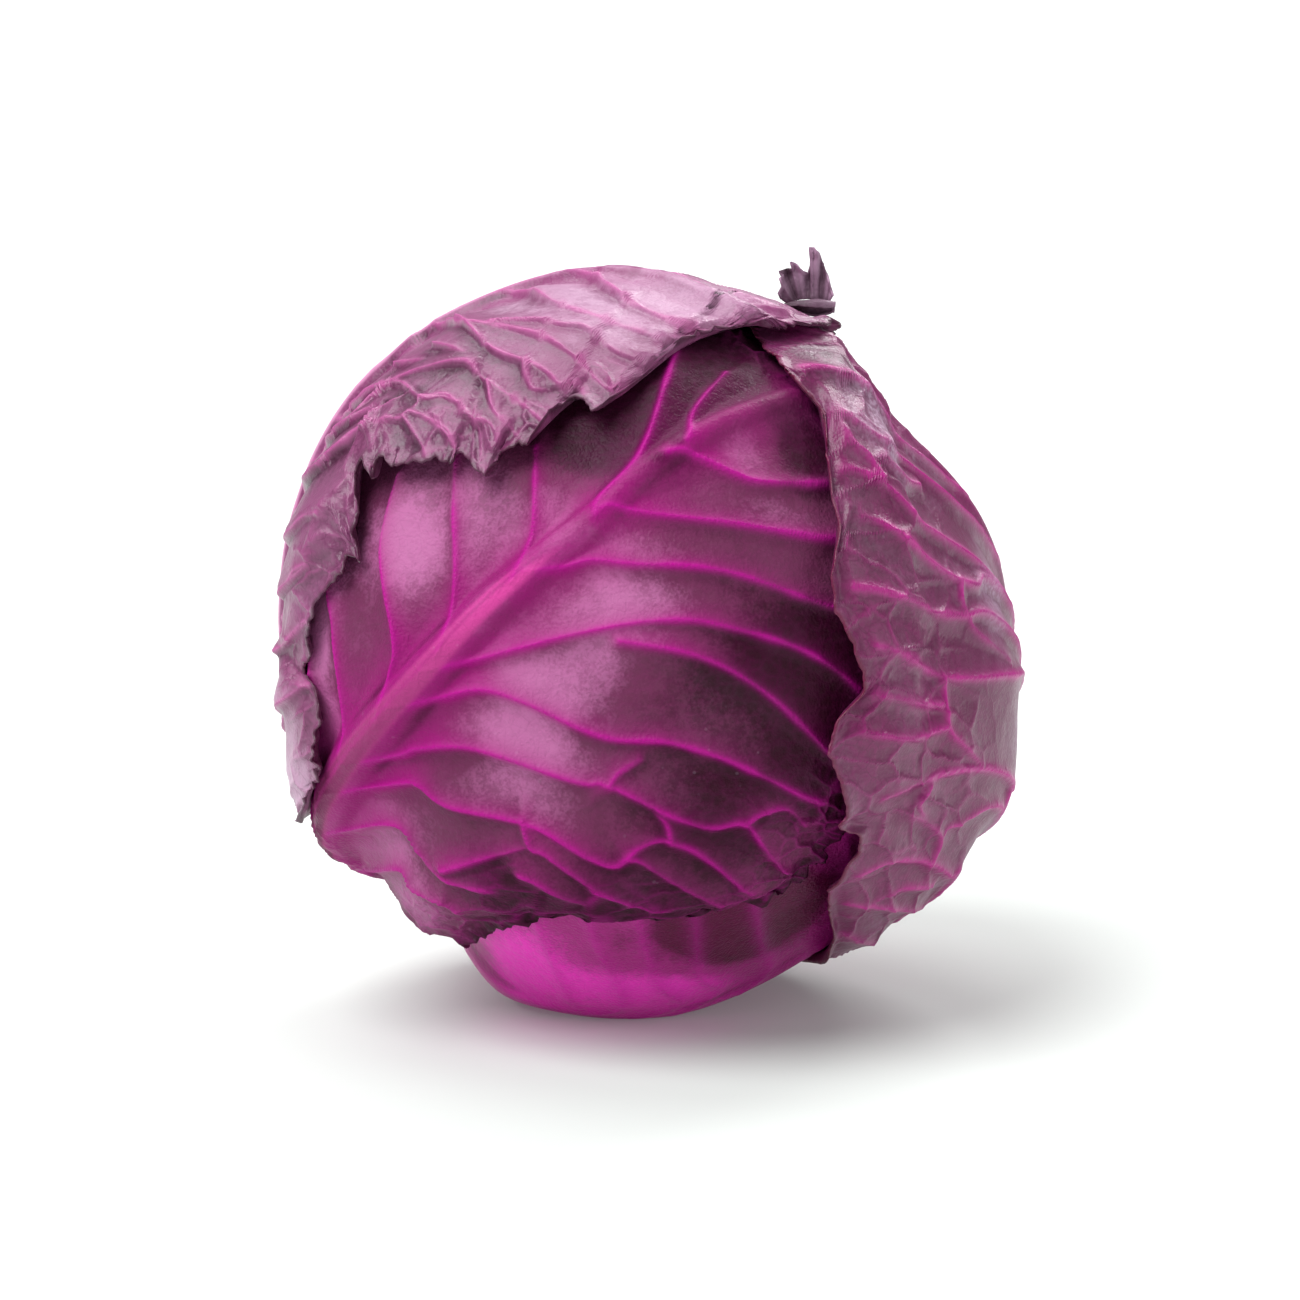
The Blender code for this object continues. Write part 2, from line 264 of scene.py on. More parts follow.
def curve_through(points: tuple, count: int) -> np.ndarray:
    """Even points on the Catmull-Rom curve through some control points.

    Args:
        points: control points.
        count: how many points to return.

    Returns:
        An array of count points.
    """
    knots = np.array(points, float)
    padded = np.vstack([2 * knots[0] - knots[1], knots, 2 * knots[-1] - knots[-2]])
    place = np.linspace(0.0, len(knots) - 1.0, count)
    index = np.minimum(place.astype(int), len(knots) - 2)
    share = (place - index)[:, None]
    return catmull_rom(tuple(padded[index + k] for k in range(4)), share)


def stretch(grid: np.ndarray, rows: int, columns: int) -> np.ndarray:
    """Smoothly enlarges a small grid of heights.

    Args:
        grid: the small grid.
        rows: rows wanted.
        columns: columns wanted.

    Returns:
        The large grid.
    """
    for axis, count in ((0, rows), (1, columns)):
        size = grid.shape[axis]
        place = np.linspace(0.0, size - 1.0, count)
        index = np.minimum(place.astype(int), size - 2)
        share = place - index
        share = share[:, None] if axis == 0 else share[None, :]
        knots = tuple(np.take(grid, np.clip(index + k, 0, size - 1), axis=axis)
                      for k in (-1, 0, 1, 2))
        grid = catmull_rom(knots, share)
    return grid


def aim_vector(azimuth: float, elevation: float) -> np.ndarray:
    """Unit vector of an aim.

    Args:
        azimuth: turn in degrees, 0 along -Y and 90 along +X.
        elevation: rise in degrees.

    Returns:
        The vector.
    """
    turn, rise = math.radians(azimuth), math.radians(elevation)
    flat = math.cos(rise)
    return np.array([math.sin(turn) * flat, -math.cos(turn) * flat, math.sin(rise)])


def quads(index: np.ndarray) -> np.ndarray:
    """Four-sided faces between the neighbouring points of a grid of point numbers."""
    corners = [index[:-1, :-1], index[:-1, 1:], index[1:, 1:], index[1:, :-1]]
    return np.stack(corners, axis=-1).reshape(-1, 4)


def rim(index: np.ndarray) -> np.ndarray:
    """Point numbers in order round the edge of a grid of point numbers."""
    return np.concatenate([index[0, :-1], index[:-1, -1], index[-1, :0:-1], index[:0:-1, 0]])


# ---- Finishes ----

Colour = tuple[float, float, float]
Value = bpy.types.NodeSocket | float | Colour


def tint(red: int, green: int, blue: int) -> Colour:
    """Linear colour of screen values from 0 to 255."""
    return tuple((c / 255.0 / 12.92) if c <= 10 else ((c / 255.0 + 0.055) / 1.055) ** 2.4
                 for c in (red, green, blue))


@dataclass(frozen=True)
class LeafFinish:
    """Colours and surface of one leaf.  Its shade colour, also used for the cracks, and its light
    colour are the painted shade and the painted highlight at the two ends of its colour scale.
    """

    name: str
    shade: Colour
    blade: Colour
    light: Colour
    glow: Colour
    vein: Colour
    rib: Colour
    stalk: Colour
    rim: Colour
    bloom: Colour = tint(206, 178, 205)
    glow_amount: float = 0.7
    vein_amount: float = 0.9
    net_amount: float = 0.3
    bloom_amount: float = 0.3
    roughness: float = 0.34
    specular: float = 0.32
    grain_mm: float = 0.06
    vein_bump_mm: float = 0.3
    net_bump_mm: float = 0.2


@dataclass(frozen=True)
class PlainFinish:
    """Colours and surface of a piece without veins."""

    name: str
    dark: Colour
    light: Colour
    roughness: float = 0.5
    specular: float = 0.25
    grain_mm: float = 0.05
    mask: str = ""


class Bench:
    """Short ways to add and join the nodes of one tree."""

    def __init__(self, tree: bpy.types.NodeTree) -> None:
        """Keeps the tree."""
        self.tree = tree

    def add(self, kind: str, **settings: object) -> bpy.types.Node:
        """Adds a node and sets its properties.

        Args:
            kind: the node's type.
            settings: its properties.

        Returns:
            The node.
        """
        node = self.tree.nodes.new(kind)
        for key, value in settings.items():
            setattr(node, key, value)
        return node

    def feed(self, socket: bpy.types.NodeSocket, source: Value) -> None:
        """Links an output to a socket, or sets the socket to a plain value.

        Args:
            socket: the input to feed.
            source: an output, a number or a colour.
        """
        if isinstance(source, bpy.types.NodeSocket):
            self.tree.links.new(source, socket)
        elif isinstance(source, tuple) and len(source) == 3 and socket.type == "RGBA":
            socket.default_value = (*source, 1.0)
        else:
            socket.default_value = source

    def math(self, operation: str, first: Value, second: Value = 0.0) -> bpy.types.NodeSocket:
        """Adds one piece of arithmetic.

        Args:
            operation: which one.
            first: the first value.
            second: the second value.

        Returns:
            The result.
        """
        node = self.add("ShaderNodeMath", operation=operation)
        self.feed(node.inputs[0], first)
        self.feed(node.inputs[1], second)
        return node.outputs[0]

    def times(self, first: Value, second: Value) -> bpy.types.NodeSocket:
        """Product of two values."""
        return self.math("MULTIPLY", first, second)

    def plus(self, first: Value, second: Value) -> bpy.types.NodeSocket:
        """Sum of two values."""
        return self.math("ADD", first, second)

    def span(self, value: Value, low: float, high: float, to_low: float = 0.0,
             to_high: float = 1.0) -> bpy.types.NodeSocket:
        """Maps a range of values onto another one, with soft ends.

        Args:
            value: the value or the socket that gives it.
            low: start of the range.
            high: end of the range.
            to_low: result at the start.
            to_high: result at the end.

        Returns:
            The result's socket.
        """
        node = self.add("ShaderNodeMapRange", interpolation_type="SMOOTHSTEP")
        for socket, source in zip(node.inputs, (value, low, high, to_low, to_high)):
            self.feed(socket, source)
        return node.outputs[0]

    def mix(self, share: Value, first: Value, second: Value) -> bpy.types.NodeSocket:
        """Mixes two colours.

        Args:
            share: how much of the second colour.
            first: the first colour.
            second: the second colour.

        Returns:
            The mixed colour.
        """
        node = self.add("ShaderNodeMix", data_type="RGBA")
        self.feed(node.inputs[0], share)
        self.feed(node.inputs[6], first)
        self.feed(node.inputs[7], second)
        return node.outputs[2]

    def noise(self, place: Value, scale: float, detail: float = 3.0) -> bpy.types.NodeSocket:
        """Adds a noise texture.

        Args:
            place: where it is read.
            scale: lumps per metre.
            detail: how many finer layers it has.

        Returns:
            Its value.
        """
        node = self.add("ShaderNodeTexNoise")
        self.feed(node.inputs["Vector"], place)
        node.inputs["Scale"].default_value = scale
        node.inputs["Detail"].default_value = detail
        return node.outputs[0]

    def cells(self, place: Value, scale: float, feature: str = "F1") -> bpy.types.NodeSocket:
        """Adds a cell texture.

        Args:
            place: where it is read.
            scale: cells per metre.
            feature: which distance it gives.

        Returns:
            Its distance.
        """
        node = self.add("ShaderNodeTexVoronoi", feature=feature)
        self.feed(node.inputs["Vector"], place)
        node.inputs["Scale"].default_value = scale
        return node.outputs["Distance"]

    def crest(self, gap: Value, power: float = 1.4) -> bpy.types.NodeSocket:
        """Sharp ridge of height 1 where a distance is nothing."""
        return self.math("EXPONENT", self.times(self.math("POWER", gap, power), -1.0))

    def mask(self, name: str) -> bpy.types.NodeSocket:
        """Reads a mask stored on the mesh."""
        return self.add("ShaderNodeAttribute", attribute_name=name).outputs["Fac"]

    def group(self, group: bpy.types.NodeTree, **sources: Value) -> bpy.types.Node:
        """Adds a node group and feeds its inputs.

        Args:
            group: the group.
            sources: what feeds each input, by name.

        Returns:
            The group's node.
        """
        node = self.add("ShaderNodeGroup", node_tree=group)
        for name, source in sources.items():
            self.feed(node.inputs[name.replace("_", " ")], source)
        return node


@dataclass(frozen=True)
class SkinTexture:
    """How many lumps or cells of each kind a metre of leaf skin has."""

    blotches: float = 70.0
    coarse_grain: float = 420.0
    fine_grain: float = 1500.0
    specks: float = 260.0
    speck_patches: float = 45.0
    cracks: float = 330.0
    wax_patches: float = 55.0
    wax_dust: float = 900.0


class Effects:
    """The node groups shared by all the finishes."""

    def __init__(self, texture: SkinTexture = SkinTexture()) -> None:
        """Makes the three groups.

        Args:
            texture: how coarse their textures are.
        """
        self.texture = texture
        self.grain = self.make_grain()
        self.paint = self.make_paint()
        self.wax = self.make_wax()

    @staticmethod
    def start(name: str, inputs: dict[str, str], outputs: dict[str, str]
              ) -> tuple[Bench, dict, dict]:
        """Starts a group with its sockets.

        Args:
            name: the group's name.
            inputs: names of the inputs and their kinds.
            outputs: names of the outputs and their kinds.

        Returns:
            The bench, the inputs' sockets and the outputs' sockets.
        """
        group = bpy.data.node_groups.new(name, "ShaderNodeTree")
        for key, kind in inputs.items():
            group.interface.new_socket(key, in_out="INPUT", socket_type="NodeSocket" + kind)
        for key, kind in outputs.items():
            group.interface.new_socket(key, in_out="OUTPUT", socket_type="NodeSocket" + kind)
        bench = Bench(group)
        first = bench.add("NodeGroupInput")
        last = bench.add("NodeGroupOutput")
        return (bench, {key: first.outputs[key] for key in inputs},
                {key: last.inputs[key] for key in outputs})

    def make_grain(self) -> bpy.types.NodeTree:
        """Blotches, fine grain, pale specks and fine cracks of a leaf skin.

        Returns:
            The group.
        """
        bench, inputs, outputs = self.start(
            "Leaf grain", {"Place": "Vector"},
            {"Blotch": "Float", "Grain": "Float", "Speck": "Float", "Crack": "Float"})
        place = inputs["Place"]
        blotch = bench.noise(place, self.texture.blotches, 4.0)
        bench.feed(outputs["Blotch"], bench.span(blotch, 0.34, 0.68))
        fine = bench.noise(place, self.texture.fine_grain, 2.0)
        coarse = bench.noise(place, self.texture.coarse_grain, 3.0)
        both = bench.plus(bench.times(fine, 0.5), bench.times(coarse, 0.5))
        bench.feed(outputs["Grain"], bench.span(both, 0.36, 0.64))
        dots = bench.span(bench.cells(place, self.texture.specks), 0.13, 0.07)
        thin = bench.span(bench.noise(place, self.texture.speck_patches, 1.0), 0.56, 0.66)
        bench.feed(outputs["Speck"], bench.times(dots, thin))
        edges = bench.cells(place, self.texture.cracks, "DISTANCE_TO_EDGE")
        bench.feed(outputs["Crack"], bench.span(edges, 0.07, 0.0))
        return bench.tree

    def make_paint(self) -> bpy.types.NodeTree:
        """Colour of a leaf between and along its veins.

        Returns:
            The group.
        """
        colours = ("Shade", "Blade", "Light", "Glow", "Vein", "Rib", "Stalk", "Rim")
        masks = ("Tone", "Glow Mask", "Vein Mask", "Net Mask", "Rib Mask", "Stalk Mask",
                 "Rim Mask", "Blotch", "Grain")
        bench, inputs, outputs = self.start(
            "Vein paint", {**{c: "Color" for c in colours}, **{m: "Float" for m in masks}},
            {"Color": "Color"})
        tone_and_shading = inputs["Tone"]
        for name, weight in (("Blotch", 0.12), ("Grain", 0.13)):
            swing = bench.math("SUBTRACT", inputs[name], 0.5)
            tone_and_shading = bench.plus(tone_and_shading, bench.times(swing, weight))
        # Low values take the shade colour and high ones the light colour: painted shade and painted
        # highlights.
        colour = bench.mix(bench.span(tone_and_shading, 0.0, 0.5), inputs["Shade"], inputs["Blade"])
        colour = bench.mix(bench.span(tone_and_shading, 0.5, 1.0), colour, inputs["Light"])
        for mask, name in (("Glow", "Glow"), ("Net", "Vein"), ("Vein", "Vein"), ("Rib", "Rib")):
            colour = bench.mix(inputs[mask + " Mask"], colour, inputs[name])
        stalk = bench.times(inputs["Rib Mask"], inputs["Stalk Mask"])
        colour = bench.mix(stalk, colour, inputs["Stalk"])
        colour = bench.mix(inputs["Rim Mask"], colour, inputs["Rim"])
        bench.feed(outputs["Color"], colour)
        return bench.tree

    def make_wax(self) -> bpy.types.NodeTree:
        """Pale granular wax over a colour.

        Returns:
            The group.
        """
        bench, inputs, outputs = self.start(
            "Wax bloom", {"Color": "Color", "Wax": "Color", "Amount": "Float", "Place": "Vector"},
            {"Color": "Color", "Cover": "Float"})
        place = inputs["Place"]
        patch = bench.span(bench.noise(place, self.texture.wax_patches, 5.0), 0.38, 0.66)
        dust = bench.span(bench.noise(place, self.texture.wax_dust, 3.0), 0.4, 0.62)
        cover = bench.times(bench.times(patch, inputs["Amount"]),
                            bench.plus(bench.times(dust, 0.6), 0.4))
        bench.feed(outputs["Color"], bench.mix(cover, inputs["Color"], inputs["Wax"]))
        bench.feed(outputs["Cover"], cover)
        return bench.tree


class Painter:
    """Makes the finishes and puts them on the pieces."""

    def __init__(self) -> None:
        """Makes the shared effects."""
        self.effects = Effects()

    @staticmethod
    def surface(name: str) -> tuple[bpy.types.Material, Bench, bpy.types.Node]:
        """Starts a material with one Principled node.

        Args:
            name: the material's name.

        Returns:
            The material, its bench and its Principled node.
        """
        material = bpy.data.materials.new(name)
        material.use_nodes = True
        tree = material.node_tree
        tree.nodes.clear()
        bench = Bench(tree)
        skin = bench.add("ShaderNodeBsdfPrincipled")
        last = bench.add("ShaderNodeOutputMaterial")
        tree.links.new(skin.outputs[0], last.inputs[0])
        return material, bench, skin

    def leaf(self, item: bpy.types.Object, finish: LeafFinish) -> None:
        """Puts a leaf finish on a piece.

        Args:
            item: the piece.
            finish: its colours and surface.
        """
        material, bench, skin = self.surface(finish.name)
        place = bench.add("ShaderNodeTexCoord").outputs["Object"]
        grain = bench.group(self.effects.grain, Place=place)
        depth = bench.mask("depth")
        vein = bench.crest(bench.mask("vein_gap"))
        vein = bench.times(vein, bench.span(bench.mask("vein"), 0.1, 0.7))
        net = bench.times(bench.crest(bench.mask("net_gap")), bench.mask("net"))
        fine = bench.mask("fine")
        lines = bench.math("MAXIMUM", net, bench.times(fine, 0.4))
        # The stored mask carries the leaf's own mottling together with its painted shade and painted
        # highlights.
        paint = bench.group(
            self.effects.paint, Shade=finish.shade, Blade=finish.blade, Light=finish.light,
            Glow=finish.glow, Vein=finish.vein, Rib=finish.rib, Stalk=finish.stalk, Rim=finish.rim,
            Tone=bench.mask("tone_and_shading"),
            Glow_Mask=bench.times(bench.mask("glow"), finish.glow_amount),
            Vein_Mask=bench.times(vein, finish.vein_amount),
            Net_Mask=bench.times(lines, finish.net_amount),
            Rib_Mask=bench.span(bench.mask("rib"), 0.5, 1.0), Stalk_Mask=bench.mask("stalk"),
            Rim_Mask=bench.times(bench.span(depth, RIM_MM / DEPTH_MASK_MM, 0.0), 0.7),
            Blotch=grain.outputs["Blotch"], Grain=grain.outputs["Grain"])
        specked = bench.mix(bench.times(grain.outputs["Speck"], 0.07),
                            paint.outputs["Color"], finish.bloom)
        cracked = bench.mix(bench.times(grain.outputs["Crack"], bench.times(fine, 0.4)),
                            specked, finish.shade)
        wax = bench.group(self.effects.wax, Color=cracked, Wax=finish.bloom, Place=place,
                          Amount=bench.times(bench.mask("bloom"), finish.bloom_amount))
        bench.feed(skin.inputs["Base Color"], wax.outputs["Color"])
        rough = bench.plus(finish.roughness, bench.times(grain.outputs["Grain"], 0.12))
        rough = bench.plus(rough, bench.times(wax.outputs["Cover"], 0.3))
        bench.feed(skin.inputs["Roughness"], rough)
        skin.inputs["Specular IOR Level"].default_value = finish.specular
        height = bench.times(grain.outputs["Grain"], finish.grain_mm)
        height = bench.plus(height, bench.times(vein, finish.vein_bump_mm))
        height = bench.plus(height, bench.times(net, finish.net_bump_mm))
        self.bump(bench, skin, height)
        item.data.materials.append(material)

    def plain(self, item: bpy.types.Object, finish: PlainFinish) -> None:
        """Puts a plain mottled finish on a piece.

        Args:
            item: the piece.
            finish: its colours and surface.
        """
        material, bench, skin = self.surface(finish.name)
        place = bench.add("ShaderNodeTexCoord").outputs["Object"]
        grain = bench.group(self.effects.grain, Place=place)
        tone_and_shading = bench.plus(bench.times(grain.outputs["Blotch"], 0.6),
                          bench.times(grain.outputs["Grain"], 0.4))
        # A stored mask, such as the curl's painted pleat light and shade, sets most of the colour.
        if finish.mask:
            tone_and_shading = bench.plus(bench.times(tone_and_shading, 0.3), bench.times(bench.mask(finish.mask), 0.7))
        bench.feed(skin.inputs["Base Color"], bench.mix(tone_and_shading, finish.dark, finish.light))
        skin.inputs["Roughness"].default_value = finish.roughness
        skin.inputs["Specular IOR Level"].default_value = finish.specular
        self.bump(bench, skin, bench.times(grain.outputs["Grain"], finish.grain_mm))
        item.data.materials.append(material)

    @staticmethod
    def bump(bench: Bench, skin: bpy.types.Node, height: bpy.types.NodeSocket) -> None:
        """Adds a fine bump to a Principled node.

        Args:
            bench: the material's bench.
            skin: its Principled node.
            height: the bump's height in mm.
        """
        node = bench.add("ShaderNodeBump")
        node.inputs["Strength"].default_value = 1.0
        node.inputs["Distance"].default_value = MM
        bench.feed(node.inputs["Height"], height)
        bench.feed(skin.inputs["Normal"], node.outputs[0])


# ---- The head and the stack of what is already built ----


@dataclass(frozen=True)
class Swelling:
    """A swelling or hollow of the heart, its place and spread in degrees."""

    azimuth: float
    elevation: float
    height_mm: float
    spread: float


@dataclass
class Head:
    """Where the head sits, its lumpy round form and what is already built on it."""

    radius_mm: float = 75.6
    swellings: tuple[Swelling, ...] = (
        Swelling(-10.0, -86.0, 5.6, 32.0),
        Swelling(178.0, -58.0, -5.0, 22.0),
        Swelling(96.0, 47.0, -10.6, 25.0),
        Swelling(88.0, -22.0, 3.4, 26.0),
        Swelling(-100.0, 62.0, 3.3, 34.0),
        Swelling(-130.0, 76.0, 2.0, 28.0),
        Swelling(-78.0, -10.0, -4.6, 26.0),
        Swelling(42.0, -50.0, -8.6, 20.0),
        Swelling(-74.0, -52.0, -11.0, 18.0),
        Swelling(-60.0, -73.0, 4.6, 13.0),
    )
    floor_mm: float = 3.4
    probe_from: float = 0.16
    probe_length: float = 0.15
    layers: list[BVHTree] = field(default_factory=list)

    def __post_init__(self) -> None:
        """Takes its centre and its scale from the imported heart."""
        low, high = (np.array(corner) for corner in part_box("heart"))
        self.scale = (high[0] - low[0]) / (HEART_WIDTH_MM * MM)
        offset = np.array(HEAD_CENTRE_MM) - np.array(HEART_MIDDLE_MM)
        self.centre = 0.5 * (low + high) + offset * MM * self.scale
        self.unit = MM * self.scale

    def form(self, aims: np.ndarray) -> np.ndarray:
        """Lumpy round form of the heart.

        Args:
            aims: the unit vectors.

        Returns:
            The radii in mm.
        """
        radius = np.full(aims.shape[:-1], self.radius_mm)
        for lump in self.swellings:
            turn = np.degrees(np.arccos(np.clip(
                aims @ aim_vector(lump.azimuth, lump.elevation), -1.0, 1.0)))
            radius += lump.height_mm * np.exp(-(turn / lump.spread) ** 2)
        return np.minimum(radius, self.floor_reach(aims, self.floor_mm))

    def floor_reach(self, aims: np.ndarray, height_mm: float) -> np.ndarray:
        """Largest radius in mm that stays a height over the floor."""
        down = np.maximum(-aims[..., 2], 1e-6)
        return np.where(aims[..., 2] < -1e-3, (self.centre[2] / self.unit - height_mm) / down, 1e3)

    def place(self, aims: np.ndarray, radius_mm: np.ndarray) -> np.ndarray:
        """Points in the frame, in metres."""
        return self.centre + aims * (radius_mm * self.unit)[..., None]

    def cover(self, points: np.ndarray) -> None:
        """Adds a grid of surface points to what is already built."""
        index = np.arange(points[..., 0].size).reshape(points.shape[:2])
        self.layers.append(BVHTree.FromPolygons(
            points.reshape(-1, 3).tolist(), quads(index).tolist()))

    def reach(self, aim: np.ndarray) -> float:
        """Finds the outermost surface built so far along one line from the centre.

        Args:
            aim: the unit vector.

        Returns:
            Its radius in mm.
        """
        start = Vector(self.centre + aim * self.probe_from)
        back = Vector(-aim)
        best = 0.0
        for tree in self.layers:
            hit = tree.ray_cast(start, back, self.probe_length)[3]
            if hit is not None:
                best = max(best, self.probe_from - hit)
        return best / self.unit


# ---- Leaves ----


@dataclass(frozen=True)
class Patch:
    """A soft round patch of a leaf where its colour and painted light and shade, its wax bloom and
    painted sheen, or its net changes, in degrees.
    """

    along: float
    across: float
    amount: float
    spread: float

    def over(self, plain: tuple[np.ndarray, np.ndarray]) -> np.ndarray:
        """Strength of the patch at every point of a grid of plain leaf coordinates."""
        gap = np.hypot(plain[0] - self.along, plain[1] - self.across)
        return self.amount * bell(gap, self.spread)


@dataclass(frozen=True)
class Lift(Patch):
    """A place where a leaf stands off what lies below it, its amount in mm."""

    depth_mm: float = 22.0


@dataclass(frozen=True)
class Tear:
    """How one margin of a leaf is scalloped, toothed and waved."""

    margin: Margin
    scallop_mm: float = 0.0
    scallop_length_mm: float = 9.0
    tooth_mm: float = 0.5
    tooth_length_mm: float = 1.8
    wave_mm: float = 0.6
    wave_length_mm: float = 12.0
    wave_depth_mm: float = 9.0
    curl_mm: float = 0.0
    start: float = -999.0
    stop: float = 999.0
    ends: float = 4.0
    pull_depth_mm: float = 7.0
    curl_depth_mm: float = 2.2

    def cut(self, length: np.ndarray, seed: int) -> tuple[np.ndarray, np.ndarray]:
        """Works out the teeth and the waves along a margin.

        Args:
            length: distance along the margin in mm.
            seed: picks one of many patterns.

        Returns:
            How far the margin is pulled in, in mm, and how it waves, about -1 to 1.
        """
        lean = 0.35 * line_noise(length, 2.3 * self.scallop_length_mm, seed)
        phase = length / self.scallop_length_mm + lean
        notch = (0.5 + 0.5 * np.cos(2 * np.pi * phase)) ** 2.2
        size = 0.55 + 0.75 * np.clip(line_noise(length, 11.0, seed + 1), -0.6, 1.0)
        place = length / self.tooth_length_mm + line_noise(length, 5.0, seed + 2)
        teeth = 1.0 - np.abs(2.0 * (place % 1.0) - 1.0)
        ragged = np.clip(line_noise(length, 4.0, seed + 3), 0.0, 1.0)
        pull = self.scallop_mm * (notch * size + 0.5 * ragged)
        pull = pull + self.tooth_mm * teeth * (0.5 + ragged)
        swing = line_noise(length, self.wave_length_mm, seed + 4)
        return pull, swing + 0.5 * line_noise(length, 0.45 * self.wave_length_mm, seed + 5)

    def keep(self, place: np.ndarray) -> np.ndarray:
        """1 where the tear works, from its start to its stop, and 0 past them."""
        begun = smooth_step(self.start - self.ends, self.start + self.ends, place)
        return begun * (1.0 - smooth_step(self.stop - self.ends, self.stop + self.ends, place))


@dataclass(frozen=True)
class Relief:
    """Heights of a leaf's ribs, veins and puckers, in mm.

    sag is how deep the blade lies between the veins.  lee is how much more it falls off, and
    how much painted shade it gets, on the base's side of each vein.  dark_margin is how much the
    margin darkens.
    """

    rib_mm: float = 2.6
    rib_width_mm: float = 6.5
    rib_tip_mm: float = 0.5
    rib_tip_width_mm: float = 1.6
    stalk_mm: float = 1.5
    vein_mm: float = 1.9
    vein_width_mm: float = 1.3
    sag_mm: float = 2.0
    sag_width_mm: float = 5.0
    net_mm: float = 0.5
    net_width_mm: float = 0.85
    net_cell_mm: float = 10.0
    net_sag_mm: float = 0.45
    net_margin_mm: float = 60.0
    pucker_mm: float = 0.6
    pucker_length_mm: float = 17.0
    net_dip_mm: float = 1.6
    lee: float = 0.0
    lee_width_mm: float = 3.5
    dark_margin: float = 0.0
    dark_width_mm: float = 7.0
    vein_glow_mm: float = 2.3
    rib_glow_mm: float = 9.0
    fibre_mm: float = 0.9


@dataclass(frozen=True)
class Focus:
    """Where a leaf's grid lines crowd together, as a share of the way across the grid."""

    middle: float = 0.5
    width: float = 0.3
    gain: float = 0.0

    def spread(self, count: int) -> np.ndarray:
        """Uneven positions from 0 to 1, closest together round the middle.

        Args:
            count: how many positions.

        Returns:
            The positions.
        """
        fine = np.linspace(0.0, 1.0, 2001)
        density = 1.0 + self.gain * np.exp(-((fine - self.middle) / self.width) ** 2)
        total = np.concatenate([[0.0], np.cumsum(0.5 * (density[1:] + density[:-1]))])
        return np.interp(np.linspace(0.0, total[-1], count), total, fine)


@dataclass(frozen=True)
class LeafPlan:
    """Everything that sets one leaf's place and shape; angles are degrees from its middle.

    Veins start at the midrib, and branches wherever their first point lies.  grown_left and
    grown_right are how many more veins each side grows by rule.  soften is how far the drawn
    corners of the margins are rounded, and bloom_low is how much wax bloom there is away from
    the wax and sheen patches, which also paint sheen.  The shading patches paint light and
    shade along with the leaf's own colour.
    """

    node: str
    aim: tuple[float, float]
    tip_aim: tuple[float, float]
    left: tuple[tuple[float, float], ...]
    right: tuple[tuple[float, float], ...]
    base: tuple[float, float, float]
    tip: tuple[float, float, float]
    midrib: tuple[tuple[float, float], ...]
    veins: tuple[tuple[tuple[float, float], ...], ...] = ()
    branches: tuple[tuple[tuple[float, float], ...], ...] = ()
    soften: float = 1.0
    grown_left: int = 0
    grown_right: int = 0
    blade_mm: float = 1.1
    edge_mm: float = 0.5
    thicken_mm: float = 9.0
    fill_mm: float = 1.4
    shading_and_tone_patches: tuple[Patch, ...] = ()
    bloom_low: float = 0.5
    wax_and_sheen_patches: tuple[Patch, ...] = ()
    nets: tuple[Patch, ...] = ()
    focus_along: Focus = Focus()
    focus_across: Focus = Focus()
    vein_slant: float = 38.0
    relief: Relief = Relief()
    tears: tuple[Tear, ...] = ()
    lifts: tuple[Lift, ...] = ()
    floor_mm: float = 0.6
    rows: int = 289
    columns: int = 289
    seed: int = 1


@dataclass
class LeafGrid:
    """A leaf's surface fields, one value per grid point."""

    along: np.ndarray
    across: np.ndarray
    aims: np.ndarray
    inner_mm: np.ndarray
    outer_mm: np.ndarray
    masks: dict[str, np.ndarray]


@dataclass
class MidribField:
    """The midrib at every grid point: how far it is, where along it, its side and its form."""

    gap: np.ndarray
    share: np.ndarray
    side: np.ndarray
    width: np.ndarray
    form: np.ndarray


@dataclass
class VeinField:
    """The side veins at every grid point: height, nearest one's size and distance, and lee, where
    painted shade falls below each vein.
    """

    height: np.ndarray
    size: np.ndarray
    gap: np.ndarray
    far: np.ndarray
    lee: np.ndarray


@dataclass
class NetField:
    """The fine net at every grid point: its strength, its lines, its cells and a finer net."""

    where: np.ndarray
    gap: np.ndarray
    cell: np.ndarray
    fine: np.ndarray


